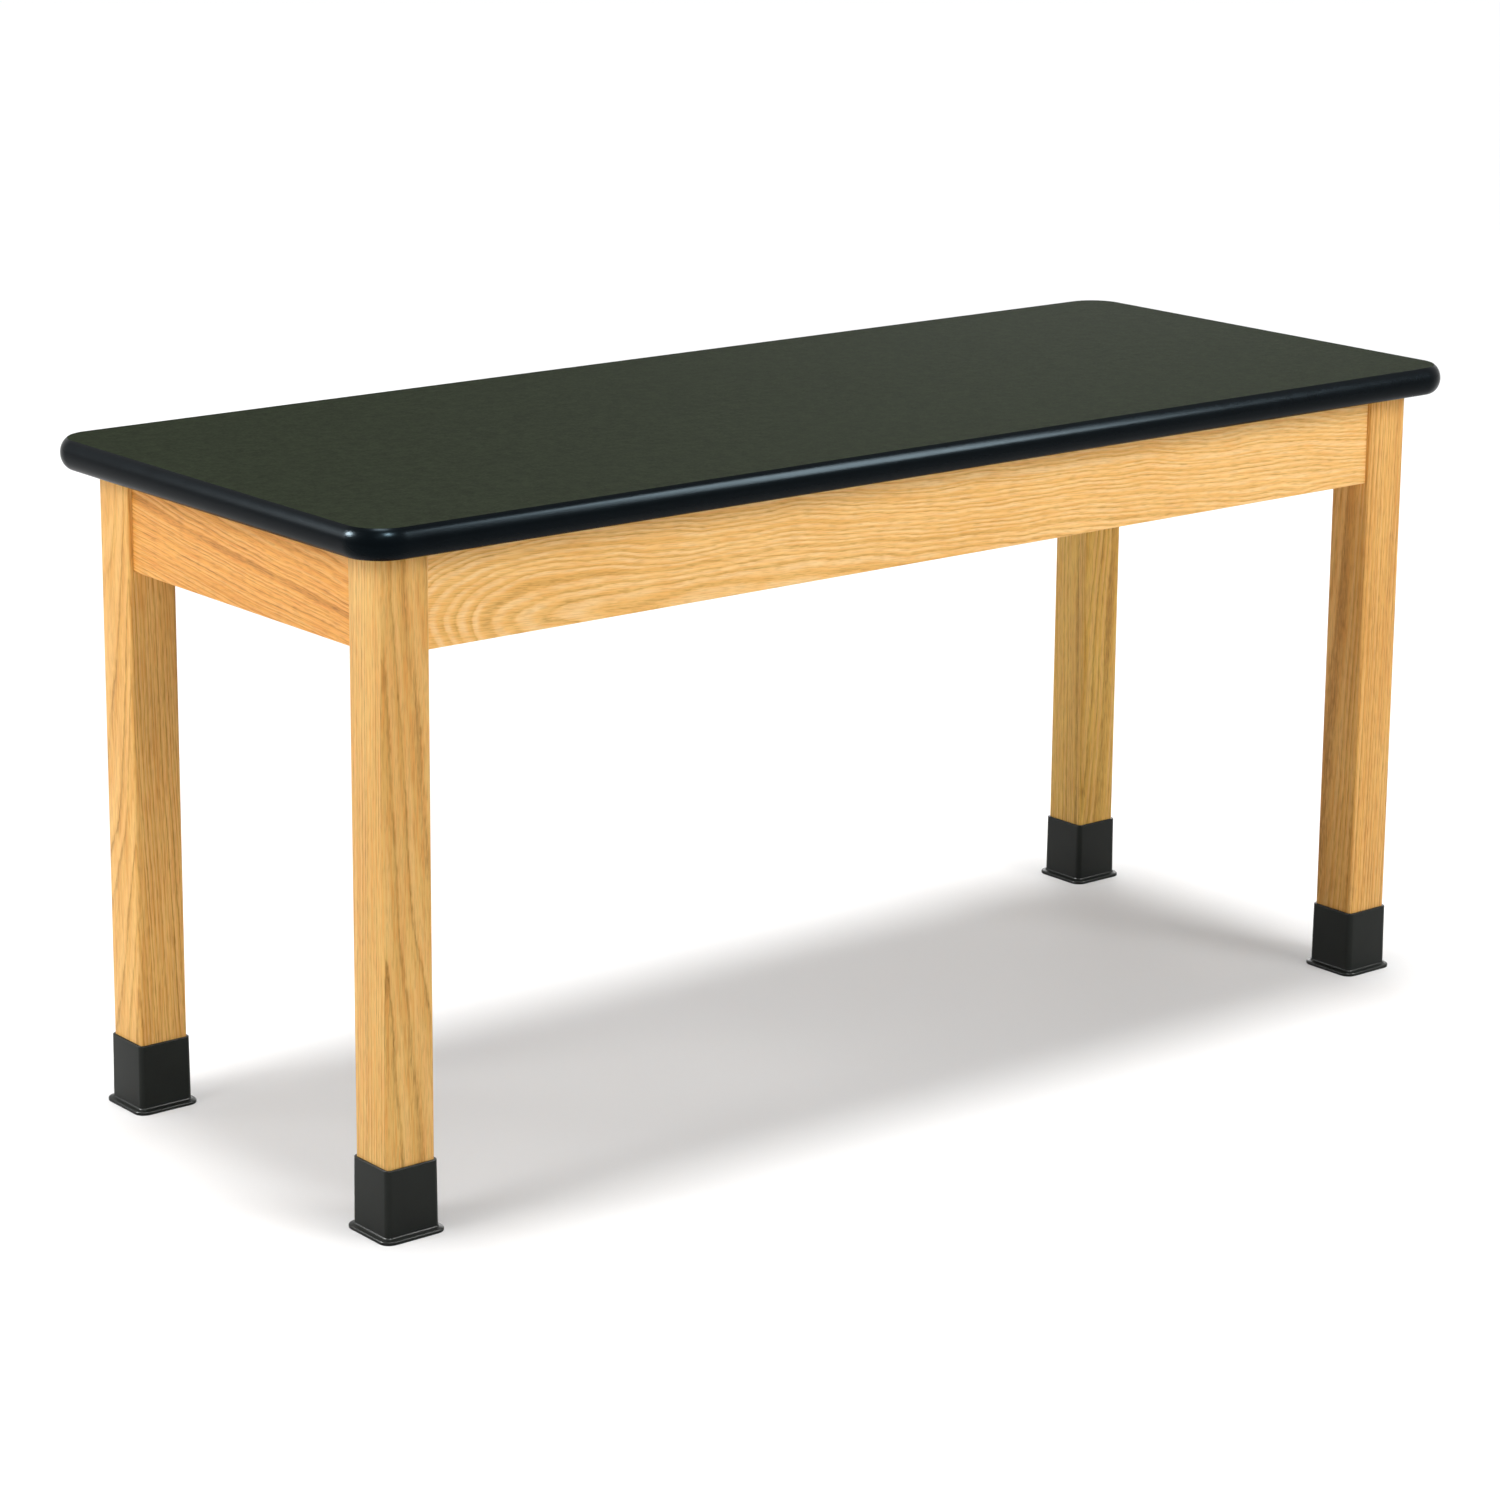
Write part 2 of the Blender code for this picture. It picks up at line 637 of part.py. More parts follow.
def bracket_mesh():
    """Return a corner bracket: one strip folded four times, with its bolt and screw holes."""
    hook_tip = BRACKET_FACE - HOOK_DEPTH
    folds = [(HOOK_PLACE, hook_tip), (HOOK_PLACE, BRACKET_FACE), (WING_START, BRACKET_FACE)]
    folds += [(along, across) for across, along in reversed(folds)]
    strip = bmesh.new()
    line = [strip.verts.new((x, y, BRACKET_MIDDLE - BRACKET_HEIGHT / 2)) for x, y in folds]
    edges = [strip.edges.new(pair) for pair in zip(line[:-1], line[1:])]
    raised = bmesh.ops.extrude_edge_only(strip, edges=edges)["geom"]
    moved = [item for item in raised if isinstance(item, bmesh.types.BMVert)]
    bmesh.ops.translate(strip, verts=moved, vec=(0.0, 0.0, BRACKET_HEIGHT))
    sheet = loose_object("bracket", mesh_from(strip, "bracket"))
    thicken = sheet.modifiers.new("sheet", "SOLIDIFY")
    thicken.thickness = BRACKET_SHEET
    thicken.offset = -1.0
    thicken.use_even_offset = True
    bracket = evaluated_mesh(sheet)

    holes = bmesh.new()
    inward = Vector((1.0, 1.0, 0.0)).normalized() * BRACKET_STANDOFF
    for height in bolt_heights():
        middle = Vector((PLATE_PLANE / 2, PLATE_PLANE / 2, height))
        add_rod(holes, middle - inward, middle + inward, BOLT_RADIUS + SEAT_GAP)
    bracket = boolean_mesh("bracket", bracket, [mesh_from(holes, "bolt_holes")])

    along = wing_screw_place()
    seat = BRACKET_FACE + BRACKET_SHEET
    places = []
    for height in wing_screw_heights():
        places.append(Matrix.Translation((along, seat, height)) @ facing((0.0, -1.0, 0.0)))
        places.append(Matrix.Translation((seat, along, height)) @ facing((-1.0, 0.0, 0.0)))
    return boolean_mesh("bracket", bracket, placed_copies(screw_mesh(), places), "UNION")


def hanger_bolt_mesh():
    """Return a hanger bolt through the middle of a corner at height 0, its point in the leg."""
    plate = BRACKET_STANDOFF + BRACKET_SHEET
    length = BOLT_IN_LEG + plate + SEAT_GAP + NUT_HEIGHT + BOLT_TIP
    profile = [(0.0, length), (BOLT_POINT, length), (BOLT_RADIUS, length - BOLT_POINT / 2)]
    profile += [(BOLT_RADIUS, BOLT_POINT), (0.0, 0.0)]
    bolt = turned_mesh("hanger_bolt", profile, FASTENER_STEPS)
    leg_face = Matrix.Translation((CHAMFER_PLANE / 2, CHAMFER_PLANE / 2, 0.0))
    bolt.transform(leg_face @ facing((1.0, 1.0, 0.0)) @ Matrix.Translation((0.0, 0.0, -BOLT_IN_LEG)))
    return bolt


def flange_nut_mesh():
    """Return a flange nut on a hanger bolt at height 0, seated on the bracket's inner side."""
    rim = arc(0.0, 0.0, NUT_FLANGE_RADIUS, 0.0, 2 * math.pi, TURNED_STEPS)[:-1]
    flange = plate_mesh("flange", [rim], NUT_FLANGE_THICKNESS)
    hexagon = plate_mesh("hexagon", [regular_outline(NUT_FLATS, 6)], NUT_HEIGHT)
    hexagon.transform(Matrix.Translation((0.0, 0.0, NUT_FLANGE_THICKNESS / 2)))
    nut = boolean_mesh("flange_nut", flange, [hexagon], "UNION")
    bore = bmesh.new()
    past = NUT_HEIGHT
    add_rod(bore, (0.0, 0.0, -past), (0.0, 0.0, NUT_HEIGHT + past), BOLT_RADIUS + SEAT_GAP)
    nut = boolean_mesh("flange_nut", nut, [mesh_from(bore, "nut_bore")])
    inside = PLATE_PLANE / 2 + (BRACKET_SHEET + SEAT_GAP) / math.sqrt(2.0)
    nut.transform(Matrix.Translation((inside, inside, 0.0)) @ facing((1.0, 1.0, 0.0)))
    return nut


def clip_mesh():
    """Return a clip, its tongue in the apron's groove and its flange under the top."""
    tongue_top = FRAME_TOP - CLIP_GROOVE_DROP - SEAT_GAP
    tongue_bottom = tongue_top - CLIP_SHEET
    flange_top = FRAME_TOP
    flange_bottom = flange_top - CLIP_SHEET
    step_in, step_out = CLIP_STEP, CLIP_STEP + CLIP_SHEET
    outline = [(-CLIP_TONGUE, tongue_bottom), (step_out, tongue_bottom), (step_out, flange_bottom)]
    outline += [(CLIP_REACH, flange_bottom), (CLIP_REACH, flange_top), (step_in, flange_top)]
    outline += [(step_in, tongue_top), (-CLIP_TONGUE, tongue_top)]
    clip = plate_mesh("clip", [outline], CLIP_WIDTH)
    clip.transform(Matrix.Translation((0.0, 0.0, -CLIP_WIDTH / 2)))
    width_to_x = Matrix(((0, 0, 1, 0), (1, 0, 0, 0), (0, 1, 0, 0), (0, 0, 0, 1)))
    clip.transform(width_to_x)
    screw = screw_mesh()
    screw.transform(Matrix.Translation(clip_screw_place()))
    return boolean_mesh("clip", clip, [screw], "UNION")


def build_top_clips(parts, finishes):
    """Model the clips, each with its screw, that hold the top down on the aprons."""
    clip = clip_mesh()
    for name, frame in clip_frames().items():
        new_part(name, clip, finishes["zinc"], parts, place=frame)


def insert_mesh():
    """Return the flanged threaded insert in a leg's end, which the glide's stud turns in."""
    bore = STUD_RADIUS + SEAT_GAP
    top = LEG_BOTTOM + INSERT_LENGTH
    shoulder = INSERT_BOTTOM + INSERT_FLANGE_THICKNESS
    profile = [(bore, top), (INSERT_RADIUS, top), (INSERT_RADIUS, shoulder)]
    profile += [(INSERT_FLANGE_RADIUS, shoulder), (INSERT_FLANGE_RADIUS, INSERT_BOTTOM)]
    profile.append((bore, INSERT_BOTTOM))
    return turned_mesh("insert", profile, closed=True)


def pad_mesh():
    """Return the foot pad, with the undercut socket that holds the stud's foot."""
    socket = FOOT_RADIUS + SEAT_GAP
    throat = NECK_RADIUS + SEAT_GAP
    socket_top = FOOT_BOTTOM + FOOT_HEIGHT + SEAT_GAP
    profile = [(0.0, PAD_FLOOR), (socket, PAD_FLOOR), (socket, socket_top), (throat, socket_top)]
    profile += [(throat, PAD_HEIGHT), (PAD_CROWN_RADIUS, PAD_HEIGHT), (PAD_RADIUS, PAD_SIDE)]
    profile += [(PAD_RADIUS, PAD_EDGE), (PAD_RADIUS - PAD_EDGE, 0.0), (0.0, 0.0)]
    return turned_mesh("pad", profile)


def stud_mesh():
    """Return the stud: a foot, a neck, a hexagon collar and the threaded shank."""
    waist = COLLAR_TOP - COLLAR_THICKNESS / 2
    foot_top = FOOT_BOTTOM + FOOT_HEIGHT
    profile = [(0.0, STUD_TOP), (STUD_RADIUS - STUD_TIP, STUD_TOP)]
    profile += [(STUD_RADIUS, STUD_TOP - STUD_TIP), (STUD_RADIUS, waist)]
    profile += [(NECK_RADIUS, waist), (NECK_RADIUS, foot_top)]
    profile += [(FOOT_RADIUS, foot_top), (FOOT_RADIUS, FOOT_BOTTOM), (0.0, FOOT_BOTTOM)]
    shank = turned_mesh("shank", profile)
    collar = plate_mesh("collar", [regular_outline(COLLAR_FLATS, 6)], COLLAR_THICKNESS)
    collar.transform(Matrix.Translation((0.0, 0.0, COLLAR_BOTTOM)))
    return boolean_mesh("stud", shank, [collar], "UNION")


def shoe_mesh():
    """Return a leg shoe: its wall, fillet and flange swept round the leg."""
    half = LEG_WIDTH / 2 + SEAT_GAP
    root = (SHOE_BOTTOM_WALL + SHOE_FILLET_RADIUS, SHOE_FLANGE_HEIGHT + SHOE_FILLET_RADIUS)
    brim = (SHOE_FLANGE_REACH - SHOE_FLANGE_EDGE, SHOE_FLANGE_HEIGHT - SHOE_FLANGE_EDGE)
    section = [(0.0, SHOE_HEIGHT), (SHOE_TOP_WALL - SHOE_TOP_EDGE, SHOE_HEIGHT)]
    section.append((SHOE_TOP_WALL, SHOE_HEIGHT - SHOE_TOP_EDGE))
    section += arc(*root, SHOE_FILLET_RADIUS, math.pi, QUARTER_TURN, FILLET_STEPS)
    section += arc(*brim, SHOE_FLANGE_EDGE, QUARTER_TURN, -QUARTER_TURN, FLANGE_EDGE_STEPS)
    section += [(SHOE_FLANGE_REACH, SHOE_SOLE_EDGE), (SHOE_FLANGE_REACH - SHOE_SOLE_EDGE, 0.0)]
    section += [(SHOE_SOLE_EDGE, 0.0), (0.0, SHOE_SOLE_EDGE)]
    return ring_mesh("shoe", half, half, LEG_ARRIS + SEAT_GAP, SHOE_CORNER_STEPS, section)


def build_corners(parts, finishes, corners):
    """Model what stands at each corner, under an empty on the leg's outer corner."""
    on_leg_axis = Matrix.Translation((LEG_WIDTH / 2, LEG_WIDTH / 2, 0.0))
    pieces = (
        ("leg_", leg_mesh(), "oak", None),
        ("bracket_", bracket_mesh(), "zinc", None),
        ("threaded_insert_", insert_mesh(), "brass", on_leg_axis),
        ("glide_stud_", stud_mesh(), "zinc", on_leg_axis),
        ("glide_pad_", pad_mesh(), "nylon", on_leg_axis),
        ("leg_shoe_", shoe_mesh(), "rubber", on_leg_axis),
    )
    bolt, nut = hanger_bolt_mesh(), flange_nut_mesh()
    lower, upper = bolt_heights()
    for corner_name, corner in zip(CORNER_NAMES, corners):
        frame = bpy.data.objects.new("corner_" + corner_name, None)
        frame.matrix_world = corner
        parts.objects.link(frame)
        for prefix, mesh, finish, place in pieces:
            new_part(prefix + corner_name, mesh, finishes[finish], parts, frame, place)
        for suffix, height in (("_lower", lower), ("_upper", upper)):
            label = corner_name + suffix
            place = Matrix.Translation((0.0, 0.0, height))
            new_part("hanger_bolt_" + label, bolt, finishes["zinc"], parts, frame, place)
            new_part("flange_nut_" + label, nut, finishes["zinc"], parts, frame, place)


def make_finishes():
    """Return the finishes that the parts are given, by name."""
    return {
        "oak": new_material("oak", 199, 152, 84, 0.45),
        "laminate": new_material("laminate", 55, 58, 48, 0.55),
        "backer": new_material("backer", 62, 48, 36, 0.70),
        "particleboard": new_material("particleboard", 168, 134, 92, 0.85),
        "vinyl": new_material("vinyl", 18, 18, 18, 0.22),
        "rubber": new_material("rubber", 38, 40, 38, 0.55),
        "nylon": new_material("nylon", 32, 32, 34, 0.50),
        "zinc": new_material("zinc", 176, 178, 180, 0.35, 1.0),
        "brass": new_material("brass", 190, 160, 96, 0.35, 1.0),
    }


def main():
    """Build the table in a collection of its own."""
    clear_scene()
    parts = new_collection("science_lab_table")
    finishes = make_finishes()
    corners = corner_places()
    build_top(parts, finishes)
    build_aprons(parts, finishes)
    build_centre_rail(parts, finishes)
    build_corners(parts, finishes, corners)
    build_top_clips(parts, finishes)


main()
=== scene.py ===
"""Looks of the science lab table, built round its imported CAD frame.

Lengths are metres. X runs along the table, Y from its front to its back, and Z up from the
floor. The CAD boards keep their own solids and get oak. The top's skin and edge, the shoes,
the glides and the metalwork are modelled again here in finer detail.
"""

from __future__ import annotations

import json
import logging
import math
from dataclasses import dataclass
from enum import Enum
from typing import Any, Iterable, Iterator, Sequence

import bmesh
import bpy
from mathutils import Matrix, Vector

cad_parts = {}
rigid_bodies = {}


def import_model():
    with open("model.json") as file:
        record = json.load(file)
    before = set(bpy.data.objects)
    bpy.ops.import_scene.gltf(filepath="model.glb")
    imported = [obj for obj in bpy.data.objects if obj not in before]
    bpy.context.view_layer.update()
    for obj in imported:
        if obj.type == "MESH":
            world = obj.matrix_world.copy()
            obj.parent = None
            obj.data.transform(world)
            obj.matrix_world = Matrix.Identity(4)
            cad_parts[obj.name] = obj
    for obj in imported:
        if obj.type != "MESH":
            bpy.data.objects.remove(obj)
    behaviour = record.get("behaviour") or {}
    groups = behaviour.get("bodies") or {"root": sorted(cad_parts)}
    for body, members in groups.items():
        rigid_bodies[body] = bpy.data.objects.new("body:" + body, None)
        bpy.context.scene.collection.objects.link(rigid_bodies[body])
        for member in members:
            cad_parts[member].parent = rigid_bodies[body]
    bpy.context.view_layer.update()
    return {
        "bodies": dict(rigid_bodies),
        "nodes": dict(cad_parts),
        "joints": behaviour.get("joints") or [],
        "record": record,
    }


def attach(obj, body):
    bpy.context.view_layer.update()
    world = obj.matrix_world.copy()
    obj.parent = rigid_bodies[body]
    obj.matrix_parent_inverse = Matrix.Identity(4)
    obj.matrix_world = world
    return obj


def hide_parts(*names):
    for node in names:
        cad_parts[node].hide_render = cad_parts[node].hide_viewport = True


LOG = logging.getLogger("lab_table")

Point2 = tuple[float, float]
Point3 = tuple[float, float, float]
Colour = tuple[float, float, float, float]
Tree = bpy.types.NodeTree
Socket = bpy.types.NodeSocket
Material = bpy.types.Material
Mesh = bpy.types.Mesh

STATIC_BODY = "table"
SEAT_GAP = 0.0003
WELD_DISTANCE = 1e-6
QUARTER_TURN = math.pi / 2
FULL_TURN = 2 * math.pi
SMOOTH_ANGLE = math.radians(38.0)
QUARTERS = ((1, 1), (-1, 1), (-1, -1), (1, -1))  # the signs of X and Y at a rectangle's corners
BEND_STEPS = 6  # the faces in a bend of sheet metal
THREAD_STEPS, THREAD_SIDES = 16, 4  # the faces in a turn of thread, and round its ridge
HEXAGON_CHAMFER = math.radians(60.0)  # from the axis to the turned off corners' slope
HEXAGON_STEPS = 36

TABLE_HEIGHT = 0.7366
TOP_UNDERSIDE = 0.7049
FRAME_TOP = TOP_UNDERSIDE - SEAT_GAP
LEG_WIDTH = 0.05715
LEG_CORNER = (0.72072, 0.26352)
LEG_BOTTOM = 0.0155
APRON_RECESS = 0.0055
APRON_BACK = 0.02455

MIX_A, MIX_B, MIX_COLOUR = 6, 7, 2  # the colour sockets of Blender's Mix node


class Corner(Enum):
    """The four legs, each with the signs of its X and Y."""

    FRONT_LEFT = (-1, -1)
    FRONT_RIGHT = (1, -1)
    REAR_RIGHT = (1, 1)
    REAR_LEFT = (-1, 1)

    @property
    def label(self) -> str:
        """Return the corner's name as the CAD nodes spell it."""
        return self.name.lower()

    @property
    def frame(self) -> Matrix:
        """Find the leg's outer corner.

        Returns:
            Its frame, with +X and +Y pointing in under the top.
        """
        side_x, side_y = self.value
        place = Matrix.Translation((side_x * LEG_CORNER[0], side_y * LEG_CORNER[1], 0.0))
        return place @ Matrix.Rotation(list(Corner).index(self) * QUARTER_TURN, 4, "Z")

    @property
    def axis(self) -> Matrix:
        """Return the frame of the leg's own middle line, at floor level."""
        return self.frame @ Matrix.Translation((LEG_WIDTH / 2, LEG_WIDTH / 2, 0.0))


def linear_colour(code: str) -> Colour:
    """Turn an sRGB hex colour to linear, by the sRGB curve.

    Args:
        code: The colour, such as "#E7B16B".

    Returns:
        The colour as linear RGBA.
    """
    channels = [int(code[place : place + 2], 16) / 255.0 for place in (1, 3, 5)]
    red, green, blue = [c / 12.92 if c <= 0.04045 else ((c + 0.055) / 1.055) ** 2.4 for c in channels]
    return (red, green, blue, 1.0)


def grey(level: float) -> Colour:
    """Return a linear grey as RGBA."""
    return (level, level, level, 1.0)


def in_scene(name: str, data: Any) -> bpy.types.Object:
    """Add an object to the scene.

    Args:
        name: Its name.
        data: Its mesh, lamp or camera.

    Returns:
        The new object.
    """
    thing = bpy.data.objects.new(name, data)
    bpy.context.scene.collection.objects.link(thing)
    return thing


# ---------------------------------------------------------------- node helpers


def add_node(
    tree: Tree,
    kind: str,
    inputs: dict[Any, Any] | None = None,
    stops: Sequence[tuple[float, Colour]] = (),
    **settings: Any,
) -> bpy.types.Node:
    """Add a node with its settings, its values and its links.

    Args:
        tree: The tree that it goes in.
        kind: Blender's name of the node's type.
        inputs: A value or an output socket for each named or numbered input.
        stops: The places and colours of a colour ramp.
        **settings: The node's own properties.

    Returns:
        The new node.
    """
    node = tree.nodes.new(kind)
    for name, value in settings.items():
        setattr(node, name, value)
    for key, value in (inputs or {}).items():
        socket = node.inputs[key]
        if isinstance(value, Socket):
            tree.links.new(value, socket)
        else:
            socket.default_value = value
    if stops:
        elements = node.color_ramp.elements
        while len(elements) < len(stops):
            elements.new(1.0)
        for element, (place, colour) in zip(elements, stops):
            element.position = place
            element.color = colour
    return node


def new_material(name: str) -> tuple[Material, Tree]:
    """Start a material.

    Args:
        name: Its name.

    Returns:
        The material and its emptied node tree.
    """
    material = bpy.data.materials.new(name)
    material.use_nodes = True
    material.node_tree.nodes.clear()
    return material, material.node_tree


def close_material(tree: Tree, inputs: dict[Any, Any]) -> None:
    """Add a Principled surface with these inputs and link it to the output."""
    surface = add_node(tree, "ShaderNodeBsdfPrincipled", inputs)
    add_node(tree, "ShaderNodeOutputMaterial", {"Surface": surface.outputs["BSDF"]})


def in_steps(tree: Tree, place: Socket, size: Point3) -> Socket:
    """Count a place in steps of a pattern's real size.

    Args:
        tree: The material's tree.
        place: The place in metres.
        size: The pattern's size along X, Y and Z.

    Returns:
        The place in steps.
    """
    counts = (1.0 / size[0], 1.0 / size[1], 1.0 / size[2])
    return add_node(tree, "ShaderNodeVectorMath", {0: place, 1: counts}, operation="MULTIPLY").outputs[0]


# ------------------------------------------------------------------- finishes


@dataclass(frozen=True)
class Streaks:
    """Marks drawn out along the grain, where a stretched noise passes a level."""

    size: Point3  # of one mark: along the rings, towards the bark, and along the trunk
    span: Point2  # the noise where a mark begins, and where it is full
    strength: float = 1.0


@dataclass(frozen=True)
class Oak:
    """Red oak, planed, sanded and sealed with satin lacquer.

    Growth rings are cylinders about the pith, seen wherever a face cuts them. Open pored
    earlywood reads as thin brown lines and dense latewood as wide honey bands, so a face
    square to the rings is finely striped and a face along them shows flames.
    """

    name: str
    origin: Point3  # a point on the board's showing face, where its flames begin
    along: Point3  # the way the trunk ran
    out: Point3  # from the pith to the bark
    depth: float = 0.12  # from the pith to the origin
    ring: float = 0.0045  # one year's growth
    rise: float = 0.012  # how much farther off the pith runs at the origin
    reach: float = 0.40  # how far along the board that fades
    steepest: float = 3.0  # and how far it grows the other way, as a power of e
    waver: float = 0.0035  # how far the rings sway towards the pith
    sweep: float = 0.0020  # and how far sideways
    sway_size: Point3 = (0.100, 0.100, 0.200)  # the size of one such sway in the log
    sway_detail: float = 2.5
    spells: float = 0.45  # the good and lean spells in a year's width
    spell_shift: float = 1.7  # how many years' width such a spell moves the rings
    fray: float = 0.24  # how ragged a ring's edge is, in years' widths
    fray_size: Point3 = (0.0030, 0.0030, 0.012)  # the size of one such tear in the log
    early: float = 0.34  # share of a ring that is dark earlywood
    contrast: float = 0.60
    mildest: float = 0.30  # share of the contrast in the palest year
    run: float = 0.045  # how far a dark line goes before it fades
    run_width: float = 0.009
    run_span: Point2 = (0.34, 0.60)  # the noise where it is faintest, and where it is whole
    faintest: float = 0.35  # share of the line that is left there
    gleam: float = 0.35  # how pale the latewood bands get
    pored: float = 0.75  # share of pores in the rings' dark lines
    speckled: float = 0.25  # share of pores between them
    pale: str = "#F0BB67"
    mid: str = "#E3A855"
    dark: str = "#A26B28"
    warm: str = "#DF9846"
    light: str = "#F8D08A"
    # Vessels are 0.3 mm wide: they are drawn four times as wide, or no pixel would hold one.
    pores: Streaks = Streaks((0.0012, 0.0012, 0.017), (0.48, 0.63))
    fibres: Streaks = Streaks((0.0022, 0.0022, 0.040), (0.42, 0.66), 0.65)
    shades: Streaks = Streaks((0.020, 0.020, 0.240), (0.30, 0.70))
    pore_relief: float = 0.20
    pore_depth: float = 0.0003
    pore_roughness: float = 0.16  # how much rougher an open pore is
    roughness: float = 0.42
    ior: float = 1.48
    specular: float = 0.20

    def material(self) -> Material:
        """Build the board's material, with its rings about the board's own pith.

        Returns:
            The material.
        """
        material, tree = new_material(self.name)
        log = self._log(tree)
        drawn, banded = self._rings(tree, log)
        pores, fibres, shades = [
            self._streaks(tree, log, kind) for kind in (self.pores, self.fibres, self.shades)
        ]
        crowd = add_node(
            tree, "ShaderNodeMath", {0: drawn, 1: self.pored, 2: self.speckled}, operation="MULTIPLY_ADD"
        ).outputs[0]
        hollow = add_node(tree, "ShaderNodeMath", {0: pores, 1: crowd}, operation="MULTIPLY").outputs[0]
        colour: Colour | Socket = linear_colour(self.pale)
        layers = (
            (shades, self.mid), (fibres, self.warm), (banded, self.light),
            (drawn, self.dark), (hollow, self.dark),
        )
        for factor, code in layers:
            colour = add_node(
                tree, "ShaderNodeMix", {"Factor": factor, MIX_A: colour, MIX_B: linear_colour(code)},
                data_type="RGBA",
            ).outputs[MIX_COLOUR]
        bump = add_node(
            tree, "ShaderNodeBump",
            {"Strength": self.pore_relief, "Distance": self.pore_depth, "Height": hollow}, invert=True,
        ).outputs["Normal"]
        rough = add_node(
            tree, "ShaderNodeMath", {0: hollow, 1: self.pore_roughness, 2: self.roughness},
            operation="MULTIPLY_ADD",
        ).outputs[0]
        surface = {"Base Color": colour, "Roughness": rough, "Normal": bump}
        close_material(tree, {**surface, "IOR": self.ior, "Specular IOR Level": self.specular})
        return material

    def _log(self, tree: Tree) -> Socket:
        """Find the place in the log.

        Args:
            tree: The material's tree.

        Returns:
            The place: X across the rings' chord, Y to the bark and Z along the trunk.
        """
        along = Vector(self.along).normalized()
        out = (Vector(self.out) - Vector(self.out).project(along)).normalized()
        axes = Matrix((out.cross(along), out, along)).transposed()
        metres = add_node(tree, "ShaderNodeTexCoord").outputs["Object"]
        placing = {"Vector": metres, "Location": self.origin, "Rotation": axes.to_euler()}
        return add_node(tree, "ShaderNodeMapping", placing, vector_type="TEXTURE").outputs[0]

    def _years(self, tree: Tree, log: Socket) -> Socket:
        """Count the years from the pith, with all that makes real rings uneven.

        Args:
            tree: The material's tree.
            log: The place in the log.

        Returns:
            The count. Its whole part names the year and the rest is the place in its ring.
        """
        place = add_node(tree, "ShaderNodeSeparateXYZ", {0: log}).outputs
        slow = self._noise(tree, log, self.sway_size, self.sway_detail).outputs["Color"]
        centred = add_node(
            tree, "ShaderNodeVectorMath", {0: slow, 1: (0.5, 0.5, 0.5)}, operation="SUBTRACT"
        ).outputs[0]
        drift = add_node(tree, "ShaderNodeSeparateXYZ", {0: centred}).outputs
        bend = add_node(
            tree, "ShaderNodeMath", {0: drift[0], 1: 2 * self.waver, 2: self.depth}, operation="MULTIPLY_ADD"
        ).outputs[0]
        across = add_node(
            tree, "ShaderNodeMath", {0: drift[1], 1: 2 * self.sweep, 2: place["X"]}, operation="MULTIPLY_ADD"
        ).outputs[0]
        fall = add_node(
            tree, "ShaderNodeMath", {0: place["Z"], 1: -1.0 / self.reach}, operation="MULTIPLY"
        ).outputs[0]
        capped = add_node(tree, "ShaderNodeMath", {0: fall, 1: self.steepest}, operation="MINIMUM").outputs[0]
        fade = add_node(tree, "ShaderNodeMath", {0: capped}, operation="EXPONENT").outputs[0]
        risen = add_node(
            tree, "ShaderNodeMath", {0: fade, 1: self.rise, 2: bend}, operation="MULTIPLY_ADD"
        ).outputs[0]
        behind = add_node(tree, "ShaderNodeMath", {0: place["Y"], 1: risen}, operation="ADD").outputs[0]
        flat = add_node(tree, "ShaderNodeCombineXYZ", {"X": across, "Y": behind}).outputs[0]
        radius = add_node(tree, "ShaderNodeVectorMath", {0: flat}, operation="LENGTH").outputs["Value"]
        # Good and lean years follow each other, so the rings are never evenly spaced.
        lean = add_node(
            tree, "ShaderNodeTexNoise", {"W": radius, "Scale": self.spells / self.ring, "Detail": 1.0},
            noise_dimensions="1D",
        ).outputs[0]
        even = add_node(
            tree, "ShaderNodeMath", {0: radius, 1: 1.0 / self.ring}, operation="MULTIPLY"
        ).outputs[0]
        uneven = add_node(
            tree, "ShaderNodeMath", {0: lean, 1: self.spell_shift, 2: even}, operation="MULTIPLY_ADD"
        ).outputs[0]
        ragged = self._noise(tree, log, self.fray_size, 1.0).outputs[0]
        return add_node(
            tree, "ShaderNodeMath", {0: ragged, 1: self.fray, 2: uneven}, operation="MULTIPLY_ADD"
        ).outputs[0]

    def _rings(self, tree: Tree, log: Socket) -> tuple[Socket, Socket]:
        """Draw the rings.

        Args:
            tree: The material's tree.
            log: The place in the log.

        Returns:
            How dark the ring's earlywood is drawn here, and how pale its latewood.
        """
        years = self._years(tree, log)
        part = add_node(tree, "ShaderNodeMath", {0: years}, operation="FRACT").outputs[0]
        number = add_node(tree, "ShaderNodeMath", {0: years}, operation="FLOOR").outputs[0]
        early = self.early
